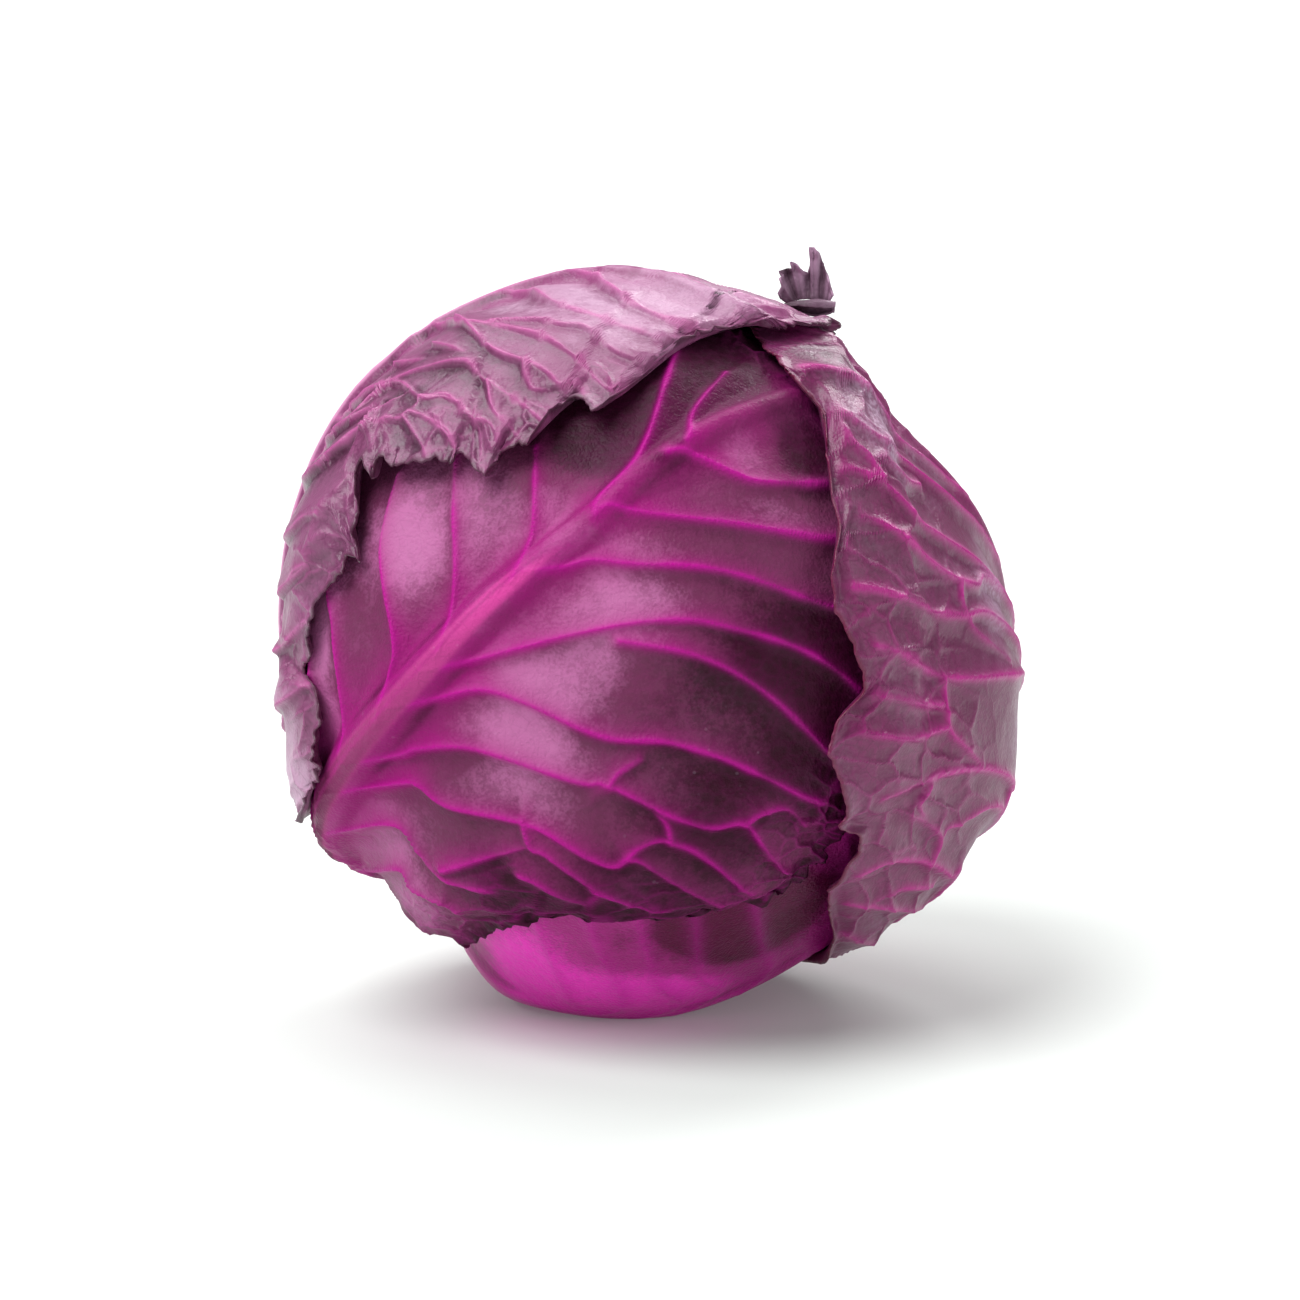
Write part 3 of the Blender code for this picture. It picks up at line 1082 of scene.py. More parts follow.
@dataclass
class Leaf:
    """One leaf, from its plan to its closed and dressed mesh.

    It feels what lies below it on a lattice of probes and clears the highest point within cling
    degrees at its margins and within bridge degrees further in.  skip is how many times coarser
    its inner skin is.
    """

    plan: LeafPlan
    head: Head
    finish: LeafFinish
    lattice: int = 73
    probe_step: float = 1.25
    cling: float = 2.6
    bridge: float = 7.5
    gap_mm: float = 0.5
    skip: int = 4
    branch_strength: float = 0.7
    grown_strength: float = 0.75

    def __post_init__(self) -> None:
        """Works out the leaf's own axes."""
        self.out = aim_vector(*self.plan.aim)
        tip = aim_vector(*self.plan.tip_aim)
        up = tip - self.out * float(tip @ self.out)
        self.up = up / np.linalg.norm(up)
        self.side = np.cross(self.up, self.out)

    def aims(self, along: np.ndarray, across: np.ndarray) -> np.ndarray:
        """Turns leaf coordinates into directions.

        Args:
            along: degrees along the leaf.
            across: degrees across it.

        Returns:
            Unit vectors from the head's centre.
        """
        p, q = np.radians(along)[..., None], np.radians(across)[..., None]
        arc = np.cos(p) * self.out + np.sin(p) * self.up
        return np.cos(q) * arc + np.sin(q) * self.side

    def outline(self, rows: int, columns: int) -> tuple[np.ndarray, np.ndarray]:
        """Grid of plain leaf coordinates inside the outline.

        Args:
            rows: points from base to tip.
            columns: points from the left to the right margin.

        Returns:
            Degrees along and degrees across.
        """
        a = self.plan.focus_along.spread(rows)[:, None]
        b = 2.0 * self.plan.focus_across.spread(columns)[None, :] - 1.0
        low, high = (mid + 0.5 * (right - left) * b + (0.5 * (right + left) - mid) * b * b
                     for left, mid, right in (self.plan.base, self.plan.tip))
        along = low + a * (high - low)
        left = follow(self.plan.left, along, self.plan.soften)
        right = follow(self.plan.right, along, self.plan.soften)
        return along, 0.5 * (left + right) + 0.5 * (right - left) * b

    def drape(self) -> tuple[np.ndarray, np.ndarray]:
        """Radii that clear what lies below, on a small lattice inside the outline.

        Returns:
            Radii in mm that follow what is below closely, and radii that bridge its hollows.
        """
        along, across = self.outline(self.lattice, self.lattice)
        reach = self.probe_step * math.ceil(self.bridge / self.probe_step) + self.probe_step
        rows = np.arange(along.min() - reach, along.max() + reach + self.probe_step, self.probe_step)
        columns = np.arange(
            across.min() - reach, across.max() + reach + self.probe_step, self.probe_step)
        aims = self.aims(rows[:, None], columns[None, :] + 0.0 * rows[:, None])
        found = np.array([self.head.reach(aim) for aim in aims.reshape(-1, 3)])
        found = found.reshape(aims.shape[:2])
        sheets = []
        for width in (self.cling, self.bridge):
            wide = self.widest(found, width / self.probe_step) + self.gap_mm
            row = (along - rows[0]) / self.probe_step
            column = (across - columns[0]) / self.probe_step
            i, j = row.astype(int), column.astype(int)
            u, v = row - i, column - j
            sheet = ((1 - u) * ((1 - v) * wide[i, j] + v * wide[i, j + 1])
                     + u * ((1 - v) * wide[i + 1, j] + v * wide[i + 1, j + 1]))
            sheets.append(self.relax(sheet))
        return sheets[0], sheets[1]

    @staticmethod
    def widest(values: np.ndarray, radius: float) -> np.ndarray:
        """Spreads high values sideways over a grid.

        Args:
            values: one value per grid point.
            radius: the radius in grid steps.

        Returns:
            The largest value near each point.
        """
        reach = int(math.ceil(radius))
        wide = np.pad(values, reach, mode="edge")
        rows, columns = values.shape
        best = values.copy()
        for i in range(-reach, reach + 1):
            for j in range(-reach, reach + 1):
                if i * i + j * j <= radius * radius:
                    best = np.maximum(best, wide[reach + i:reach + i + rows,
                                                 reach + j:reach + j + columns])
        return best

    @staticmethod
    def relax(sheet: np.ndarray, rises: int = 12, blurs: int = 5) -> np.ndarray:
        """Smooths a sheet of heights, filling its hollows first.

        Args:
            sheet: the heights.
            rises: passes that only lift.
            blurs: passes that even out.

        Returns:
            The smooth sheet.
        """
        for k in range(rises + blurs):
            wide = np.pad(sheet, 1, mode="edge")
            mean = 0.25 * (wide[:-2, 1:-1] + wide[2:, 1:-1] + wide[1:-1, :-2] + wide[1:-1, 2:])
            sheet = np.maximum(sheet, mean) if k < rises else 0.5 * (sheet + mean)
        return sheet

    def edge_run(self, along: np.ndarray, across: np.ndarray, margin: Margin
                 ) -> tuple[np.ndarray, np.ndarray, np.ndarray, np.ndarray]:
        """Follows one margin of the grid.

        Args:
            along: degrees along.
            across: degrees across.
            margin: which margin.

        Returns:
            Distance along the margin in mm, inward normal in degrees along and across, and the
            depth of every grid point behind that margin in mm.
        """
        lines = (along.T, across.T) if margin.upright else (along, across)
        p, q = (values[margin.line] for values in lines)
        p_in, q_in = (values[margin.next_line] for values in lines)
        squeeze = np.cos(np.radians(q))
        dp, dq = np.gradient(p) * squeeze, np.gradient(q)
        step = np.hypot(dp, dq) + 1e-9
        length = np.concatenate([[0.0], np.cumsum(0.5 * (step[1:] + step[:-1]))]) * DEGREE_MM
        normal_p, normal_q = -dq / step, dp / step
        inward = (p_in - p) * squeeze * normal_p + (q_in - q) * normal_q
        sign = np.where(inward < 0.0, -1.0, 1.0)
        normal_p, normal_q = normal_p * sign / np.maximum(squeeze, 0.3), normal_q * sign
        depth = np.linalg.norm(self.aims(along, across) - self.aims(p, q)[margin.widen], axis=-1)
        return length, normal_p, normal_q, depth * math.degrees(1.0) * DEGREE_MM

    def tear(self, along: np.ndarray, across: np.ndarray
             ) -> tuple[np.ndarray, np.ndarray, np.ndarray, np.ndarray]:
        """Pulls the margins into scallops and teeth and waves them.

        Args:
            along: degrees along.
            across: degrees across.

        Returns:
            The new degrees along and across, the height of the waves in mm, and the depth behind
            the nearest margin in mm.
        """
        new_along, new_across = along.copy(), across.copy()
        wave = np.zeros(along.shape)
        nearest = np.full(along.shape, FAR)
        for number, margin in enumerate(Margin):
            length, normal_p, normal_q, depth = self.edge_run(along, across, margin)
            nearest = np.minimum(nearest, depth)
            place = along[:, margin.line] if margin.upright else across[margin.line, :]
            for tear in (t for t in self.plan.tears if t.margin is margin):
                pull, swing = tear.cut(length, self.plan.seed * 31 + 7 * number)
                keep = tear.keep(place)
                shift = (pull * keep)[margin.widen] * bell(depth, tear.pull_depth_mm) / DEGREE_MM
                new_along += shift * normal_p[margin.widen]
                new_across += shift * normal_q[margin.widen]
                wave += tear.wave_mm * (swing * keep)[margin.widen] * bell(depth, tear.wave_depth_mm)
                wave += tear.curl_mm * keep[margin.widen] * bell(depth, tear.curl_depth_mm)
        return new_along, new_across, wave, nearest

    def lines(self) -> list[tuple[np.ndarray, float]]:
        """Courses and strengths of the side veins, planned ones and ones grown from the midrib."""
        rib = curve_through(self.plan.midrib, 60)
        lines: list[tuple[np.ndarray, float]] = []
        for points in self.plan.veins:
            p, q = points[0]
            start = p - 1.5 * abs(q - float(np.interp(p, rib[:, 0], rib[:, 1])))
            root = (start, float(np.interp(start, rib[:, 0], rib[:, 1])))
            lines.append((curve_through((root, *points), 16 + 5 * len(points)), 1.0))
        for points in self.plan.branches:
            lines.append((curve_through(points, 4 + 5 * len(points)), self.branch_strength))
        for sign, count in ((-1.0, self.plan.grown_left), (1.0, self.plan.grown_right)):
            for k in range(count):
                share = (k + 0.6 + 0.25 * math.sin(5.1 * k + self.plan.seed)) / (count + 0.6)
                p, q = rib[int(share * 50)]
                side = follow(self.plan.left if sign < 0 else self.plan.right, np.array([p + 16.0]))
                reach = (float(side[0]) - q) * 0.97
                rise = 16.0 + 5.0 * math.sin(2.3 * k + self.plan.seed)
                course = ((p, q), (p + 0.22 * rise, q + 0.3 * reach),
                          (p + 0.62 * rise, q + 0.66 * reach), (p + 1.3 * rise, q + reach))
                lines.append((curve_through(course, 34), self.grown_strength))
        return lines

    def ladder(self, along: np.ndarray, across: np.ndarray) -> np.ndarray:
        """Flat places in mm whose cells run along the side veins.

        Args:
            along: degrees along.
            across: degrees across.

        Returns:
            Places with three numbers in the last axis.
        """
        rib = np.array(self.plan.midrib, float)
        offset = across - np.interp(along, rib[:, 0], rib[:, 1])
        slant = math.radians(self.plan.vein_slant)
        beside = np.abs(offset)
        with_vein = (along * math.cos(slant) + beside * math.sin(slant)) * DEGREE_MM / 1.5
        over_vein = (beside * math.cos(slant) - along * math.sin(slant)) * DEGREE_MM
        return np.stack([with_vein, over_vein, np.where(offset > 0.0, 31.0, -17.0)], axis=-1)

    def distance(self, aims: np.ndarray, line: np.ndarray
                 ) -> tuple[np.ndarray, np.ndarray, np.ndarray]:
        """Distance of grid points from a line drawn on the leaf.

        Args:
            aims: unit vectors of the grid.
            line: points of the line, in degrees along and across.

        Returns:
            The distance in mm, the share of the line's length at its nearest point, and how far
            in mm the point lies on the leaf tip's side of the line.
        """
        knots = self.aims(line[:, 0], line[:, 1])
        flat = aims.reshape(-1, 3)
        best = np.full(len(flat), FAR)
        share = np.zeros(len(flat))
        ahead = np.zeros(len(flat))
        spans = knots[1:] - knots[:-1]
        turn = 1.0 if line[-1, 1] > line[0, 1] else -1.0
        for k, (start, span) in enumerate(zip(knots[:-1], spans)):
            offset = flat - start
            t = np.clip(offset @ span / max(float(span @ span), 1e-12), 0.0, 1.0)
            gap = np.sum((offset - t[:, None] * span) ** 2, axis=1)
            closer = gap < best
            best = np.where(closer, gap, best)
            share = np.where(closer, (k + t) / len(spans), share)
            normal = np.cross(start, span) * turn
            ahead = np.where(closer, offset @ (normal / np.linalg.norm(normal)), ahead)
        gap, ahead = (np.reshape(value, aims.shape[:-1]) * math.degrees(1.0) * DEGREE_MM
                      for value in (np.sqrt(best), ahead))
        return gap, share.reshape(aims.shape[:-1]), ahead

    def bed(self, plain: tuple[np.ndarray, np.ndarray], depth: np.ndarray
            ) -> tuple[np.ndarray, np.ndarray]:
        """Lays the leaf on what is below it, lifted where its plan says so.

        Args:
            plain: plain leaf coordinates of the grid.
            depth: depth behind the nearest margin in mm.

        Returns:
            Radii in mm of what the leaf must clear, and of the leaf's inner side.
        """
        near, wide = (stretch(sheet, *depth.shape) for sheet in self.drape())
        base = near + (wide - near) * smooth_step(0.0, 20.0, depth)
        for lift in self.plan.lifts:
            base += lift.over(plain) * bell(depth, lift.depth_mm)
        return near, base + self.plan.fill_mm * smooth_step(-3.0, 13.0, depth)

    def midrib(self, aims: np.ndarray) -> MidribField:
        """Lays the midrib over the grid, thinner towards the tip.

        Args:
            aims: unit vectors of the grid.

        Returns:
            The midrib's fields.
        """
        relief = self.plan.relief
        gap, share, side = self.distance(aims, curve_through(self.plan.midrib, 40))
        width = relief.rib_width_mm + (relief.rib_tip_width_mm - relief.rib_width_mm) * share
        return MidribField(gap, share, side, width, np.exp(-(gap / width) ** 2.4))

    def veins(self, aims: np.ndarray, spots: np.ndarray) -> VeinField:
        """Lays every side vein over the grid.

        Args:
            aims: unit vectors of the grid.
            spots: the grid's places for noise, in mm.

        Returns:
            The veins' fields, the strongest or nearest vein at each point.
        """
        relief = self.plan.relief
        size_here = aims.shape[:-1]
        height, vein_size, lee = (np.zeros(size_here) for _ in range(3))
        vein_gap, vein_far = np.full(size_here, 10.0), np.full(size_here, FAR)
        steps = (np.linalg.norm(np.gradient(spots, axis=side), axis=-1) for side in (0, 1))
        finest = 0.75 * np.maximum(*steps)
        wobble = 0.5 * value_noise(spots, 5.0, self.plan.seed + 3)
        for line, strength in self.lines():
            gap, share, ahead = self.distance(aims, line)
            gap = np.abs(gap + wobble * share)
            size = strength * (1.0 - 0.5 * share)
            thin = gap / np.maximum(relief.vein_width_mm * (0.45 + 0.55 * size), finest)
            ridge = 0.8 * np.exp(-thin ** 1.5) + 0.2 * bell(thin, 3.0)
            height = np.maximum(height, ridge * size)
            vein_size = np.where(thin < vein_gap, size, vein_size)
            vein_gap = np.minimum(vein_gap, thin)
            slope = 1.0 + relief.lee * (0.5 - smooth_step(-1.5, 1.5, ahead))
            vein_far = np.minimum(vein_far, (gap + 2.0 * share) * slope)
            # Where painted shade falls: just below each vein, on the base's side.
            below = bell(gap, relief.lee_width_mm) * smooth_step(0.5, -1.5, ahead) * (1.0 - 0.5 * share)
            lee = np.maximum(lee, below)
        return VeinField(height, vein_size, vein_gap, vein_far, lee)

    def net(self, spots: np.ndarray, ladder: np.ndarray, plain: tuple[np.ndarray, np.ndarray],
            depth: np.ndarray) -> NetField:
        """Lays the fine net of small veins over the grid.

        Args:
            spots: the grid's places for noise, in mm.
            ladder: flat places whose cells run along the side veins.
            plain: plain leaf coordinates of the grid.
            depth: depth behind the nearest margin in mm.

        Returns:
            The net's fields.
        """
        relief, seed = self.plan.relief, self.plan.seed
        warp = np.stack([value_noise(spots, 8.0, seed + 40 + k)
                         + 0.35 * value_noise(spots, 2.6, seed + 44 + k) for k in range(3)], -1)
        gap, cell = cell_borders(ladder + 2.0 * warp, relief.net_cell_mm, seed + 50)
        small_gap, _ = cell_borders(spots + 0.8 * warp, 0.4 * relief.net_cell_mm, seed + 60)
        where = 1.0 - smooth_step(0.45 * relief.net_margin_mm, relief.net_margin_mm, depth)
        for patch in self.plan.nets:
            where = np.maximum(where, patch.over(plain))
        fine = bell(small_gap, 0.6 * relief.net_width_mm) * (0.25 + 0.75 * where)
        return NetField(where, gap, cell, fine)

    def masks(self, plain: tuple[np.ndarray, np.ndarray], spots: np.ndarray, depth: np.ndarray,
              tent: np.ndarray, rib: MidribField, veins: VeinField, net: NetField
              ) -> dict[str, np.ndarray]:
        """Works out what the finish needs to know at every grid point.

        Args:
            plain: plain leaf coordinates of the grid.
            spots: the grid's places for noise, in mm.
            depth: depth behind the nearest margin in mm.
            tent: how far the blade sinks between the veins, from 0 to 1.
            rib: the midrib's fields.
            veins: the side veins' fields.
            net: the fine net's fields.

        Returns:
            One value per grid point for each mask's name.
        """
        plan, relief = self.plan, self.plan.relief
        # Random mottling, lighter along the veins and darker where the blade sinks between them, which
        # is painted shade in the hollows.
        tone_and_shading = 0.5 + 0.09 * layered_noise(spots, 30.0, plan.seed + 80, 3) - 0.1 * (tent - 0.5)
        # Darker towards the margin, and painted shade below each vein on the base's side.
        darker = relief.dark_margin * bell(depth, relief.dark_width_mm)
        tone_and_shading -= 0.3 * relief.lee * veins.lee + darker
        # Painted shade along both flanks of the midrib, in its lower half.
        tone_and_shading -= 0.3 * bell(rib.gap / rib.width - 1.2, 0.28) * smooth_step(1.0, 0.5, rib.share)
        bloom = plan.bloom_low * (1.0 + 0.6 * layered_noise(spots, 26.0, plan.seed + 90, 2))
        # Patches of painted light and painted shade, mixed with some of the leaf's own colour.
        for patch in plan.shading_and_tone_patches:
            tone_and_shading += patch.over(plain)
        # Wax bloom, brightened in patches that also paint sheen.
        for patch in plan.wax_and_sheen_patches:
            bloom += patch.over(plain)
        beside = np.maximum(rib.gap - 0.8 * rib.width, 0.0)
        glow = bell(beside, relief.rib_glow_mm) * (1.0 - 0.4 * rib.share)
        glow = glow + 0.75 * bell(veins.far, relief.vein_glow_mm)
        # The vein glow fades where painted shade darkens the leaf.
        glow = glow * (0.3 + 0.7 * smooth_step(0.0, 0.5, tone_and_shading))
        fibre = 0.3 * line_noise(rib.side, relief.fibre_mm, plan.seed + 95)
        return {
            "tone_and_shading": np.clip(tone_and_shading, 0.0, 1.0),
            "bloom": np.clip(bloom, 0.0, 1.0),
            "rib": rib.form * (0.9 + fibre) * (1.0 - 0.8 * smooth_step(0.5, 0.74, rib.share)),
            "vein": veins.size,
            "vein_gap": veins.gap,
            "net": net.where,
            "net_gap": np.clip(1.5 * net.gap / relief.net_width_mm, 0.0, 10.0),
            "fine": np.clip(net.fine, 0.0, 1.0),
            "glow": np.clip(glow, 0.0, 1.0),
            "depth": np.clip(depth / DEPTH_MASK_MM, 0.0, 1.0),
            "stalk": 1.0 - smooth_step(0.15, 0.55, rib.share),
        }

    def shape(self) -> LeafGrid:
        """Works out every field of the leaf.

        Returns:
            The leaf's grid.
        """
        plan, relief = self.plan, self.plan.relief
        plain = self.outline(plan.rows, plan.columns)
        along, across, wave, depth = self.tear(*plain)
        aims = self.aims(along, across)
        spots = aims * NOISE_RADIUS_MM
        near, base = self.bed(plain, depth)

        rib = self.midrib(aims)
        top = relief.rib_mm + (relief.rib_tip_mm - relief.rib_mm) * rib.share ** 0.8
        rib_rise = rib.form * top
        veins = self.veins(aims, spots)
        rise = np.maximum(rib_rise, relief.vein_mm * veins.height + 0.6 * rib_rise)
        any_gap = np.minimum(veins.far, np.maximum(rib.gap - 0.9 * rib.width, 0.0))
        tent = 1.0 - np.exp(-any_gap / relief.sag_width_mm)
        rise -= relief.sag_mm * tent * smooth_step(-6.0, 12.0, depth)

        net = self.net(spots, self.ladder(along, across), plain, depth)
        lines = bell(net.gap, relief.net_width_mm) * net.where
        rise += relief.net_mm * lines + 0.2 * relief.net_mm * net.fine
        dip = 1.0 - np.exp(-net.gap / relief.net_dip_mm)
        rise -= relief.net_sag_mm * net.where * dip * (0.5 + net.cell)
        pucker = layered_noise(spots, relief.pucker_length_mm, plan.seed + 70, 3)
        rise += relief.pucker_mm * pucker * smooth_step(0.0, 8.0, rib.gap)

        masks = self.masks(plain, spots, depth, tent, rib, veins, net)
        full = smooth_step(0.0, plan.thicken_mm, depth)
        thick = plan.edge_mm + (plan.blade_mm - plan.edge_mm) * full
        thick += relief.stalk_mm * masks["stalk"] * smooth_step(0.0, 12.0, depth)
        fade = 0.25 + 0.75 * smooth_step(0.0, 5.0, depth)
        outer = np.maximum(base + wave + thick + rise * fade, near + plan.edge_mm)
        outer = np.minimum(outer, self.head.floor_reach(aims, plan.floor_mm))
        inner = outer - thick - 0.8 * rib_rise * fade
        return LeafGrid(along, across, aims, inner, outer, masks)

    def build(self) -> bpy.types.Object:
        """Builds the closed mesh of the leaf.

        Returns:
            The leaf's object.
        """
        grid = self.shape()
        outer = self.head.place(grid.aims, grid.outer_mm)
        inner = self.head.place(grid.aims, grid.inner_mm)
        low_mm = -self.widest(-grid.inner_mm, 0.7 * self.skip)
        low = self.head.place(grid.aims, low_mm)
        self.head.cover(outer[::2, ::2])
        rows, columns = grid.along.shape
        index = np.arange(rows * columns).reshape(rows, columns)
        ring = rim(index)
        count, first = len(ring), rows * columns
        below = first + np.arange(count)
        walls = [np.roll(ring, -1), ring, below, np.roll(below, -1)]
        faces = quads(index).tolist() + np.stack(walls, axis=-1).tolist()

        skip = self.skip
        inside_rows = np.arange(skip, rows - skip, skip)
        inside_columns = np.arange(skip, columns - skip, skip)
        start = first + count
        inside = start + np.arange(len(inside_rows) * len(inside_columns)).reshape(
            len(inside_rows), len(inside_columns))
        faces += quads(inside)[:, [0, 3, 2, 1]].tolist()
        ring_rows, ring_columns = np.divmod(ring, columns)

        def nearest(k: int) -> int:
            """Number of the inner skin's point behind a point of the rim."""
            i = min(max(ring_rows[k], skip), rows - 1 - skip) // skip - 1
            j = min(max(ring_columns[k], skip), columns - 1 - skip) // skip - 1
            return int(inside[i, j])

        for k in range(0, count, skip):
            run = [first + (k + s) % count for s in range(skip, -1, -1)]
            near, far = nearest(k), nearest((k + skip) % count)
            faces.append(run + ([near] if near == far else [near, far]))

        def gathered(skin: np.ndarray, edge: np.ndarray, back: np.ndarray) -> np.ndarray:
            """Values of all points in order: outer skin, inner rim, inner skin."""
            width = skin.shape[2:]
            return np.concatenate([
                skin.reshape(-1, *width), edge[ring_rows, ring_columns],
                back[np.ix_(inside_rows, inside_columns)].reshape(-1, *width)])

        item = make_piece(self.plan.node, gathered(outer, inner, low), faces)
        for name, values in grid.masks.items():
            set_mask(item, name, gathered(values, values, values))
        return item

    def dress(self, item: bpy.types.Object, painter: Painter) -> None:
        """Gives the leaf its finish."""
        painter.leaf(item, self.finish)


def make_piece(name: str, points: np.ndarray, faces: list) -> bpy.types.Object:
    """Makes a smooth mesh object that rides on the root.

    Args:
        name: the piece's name.
        points: its points, in metres in the frame.
        faces: its faces.

    Returns:
        The object.
    """
    data = bpy.data.meshes.new(name)
    data.from_pydata(points.tolist(), [], faces)
    data.polygons.foreach_set("use_smooth", np.ones(len(data.polygons), bool))
    data.update()
    item = bpy.data.objects.new(name + "_piece", data)
    bpy.context.scene.collection.objects.link(item)
    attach(item, ROOT)
    return item


def set_mask(item: bpy.types.Object, name: str, values: np.ndarray) -> None:
    """Stores one value per point of a mesh under a name."""
    layer = item.data.attributes.new(name, "FLOAT", "POINT")
    layer.data.foreach_set("value", np.ascontiguousarray(values.reshape(-1), dtype=np.float32))


# ---- Heart, stem and the crumpled tip ----


@dataclass
class Heart:
    """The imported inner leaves, one lumpy solid under all the others."""

    head: Head
    detail: int = 6
    furrow_mm: float = 0.5
    finish: PlainFinish = PlainFinish("packed_heart", tint(78, 16, 54), tint(128, 40, 96))

    def build(self) -> bpy.types.Object:
        """Builds the heart and lays it down as the first layer.

        Returns:
            The heart's object.
        """
        ball = bpy.data.meshes.new("heart_ball")
        work = bmesh.new()
        bmesh.ops.create_icosphere(work, subdivisions=self.detail, radius=1.0)
        work.to_mesh(ball)
        work.free()
        aims = np.zeros(len(ball.vertices) * 3)
        ball.vertices.foreach_get("co", aims)
        aims = aims.reshape(-1, 3)
        faces = [list(face.vertices) for face in ball.polygons]
        radii = self.head.form(aims)
        radii = radii - self.furrow_mm * (1.0 + layered_noise(aims * NOISE_RADIUS_MM, 16.0, 3))
        points = self.head.place(aims, radii)
        self.head.layers.append(BVHTree.FromPolygons(points.tolist(), faces))
        return make_piece("heart", points, faces)

    def dress(self, item: bpy.types.Object, painter: Painter) -> None:
        """Gives the heart its finish."""
        painter.plain(item, self.finish)


@dataclass
class Stem:
    """The cut stub at the back, lower left, that all the leaves grow from."""

    head: Head
    aim: tuple[float, float] = (-105.0, -38.0)
    radius_mm: float = 15.0
    foot_mm: float = 63.0
    end_mm: float = 82.0
    dish_mm: float = 1.6
    round_mm: float = 1.4
    rings: int = 40
    spokes: int = 144
    finish: PlainFinish = PlainFinish("cut_stem", tint(178, 140, 160), tint(226, 208, 206), 0.7)

    def build(self) -> bpy.types.Object:
        """Builds the stub as one turned form with scars on its side and a ringed cut face.

        Returns:
            The stem's object.
        """
        axis = aim_vector(*self.aim)
        across = np.cross(axis, np.array([0.0, 0.0, 1.0]))
        across /= np.linalg.norm(across)
        other = np.cross(axis, across)
        outline = [(0.0, self.foot_mm), (0.55, self.foot_mm), (0.92, self.foot_mm + 0.4)]
        walls = self.rings // 2
        for k in range(walls + 1):
            height = self.foot_mm + 1.2 + (self.end_mm - self.foot_mm - 2.6) * k / walls
            outline.append((1.0, height))
        for k in range(1, 5):
            bend = 0.5 * math.pi * k / 4
            outline.append((1.0 - self.round_mm / self.radius_mm * (1.0 - math.cos(bend)),
                            self.end_mm - self.round_mm * (1.0 - math.sin(bend))))
        for k in range(1, self.rings):
            share = 0.9 * (1.0 - k / self.rings)
            dish = self.dish_mm * (1.0 - (share / 0.9) ** 2) * smooth_step(0.9, 0.6, share)
            ring = 0.16 * math.sin(34.0 * share) * (1.0 if share > 0.3 else 0.3)
            outline.append((share, self.end_mm - float(dish) + ring))
        turn = 2.0 * math.pi * np.arange(self.spokes) / self.spokes
        spin = np.cos(turn)[:, None] * across + np.sin(turn)[:, None] * other
        loops = []
        for share, height in outline[1:]:
            spots = axis * height + spin * (share * self.radius_mm)
            ridge = value_noise(spots, 4.0, 11) * (0.7 if share > 0.95 else 0.15)
            loops.append(axis * height + spin * (share * self.radius_mm + ridge - 0.5)[:, None])
        points = np.concatenate([[axis * outline[0][1]], *loops, [axis * (self.end_mm - self.dish_mm)]])
        points = self.head.centre + points * self.head.unit
        faces = []
        for k in range(self.spokes):
            n = (k + 1) % self.spokes
            faces.append([0, 1 + n, 1 + k])
            last = 1 + (len(loops) - 1) * self.spokes
            faces.append([last + k, last + n, len(points) - 1])
            for row in range(len(loops) - 1):
                low, high = 1 + row * self.spokes, 1 + (row + 1) * self.spokes
                faces.append([low + k, low + n, high + n, high + k])
        return make_piece("stem", points, faces)

    def dress(self, item: bpy.types.Object, painter: Painter) -> None:
        """Gives the stem its finish."""
        painter.plain(item, self.finish)


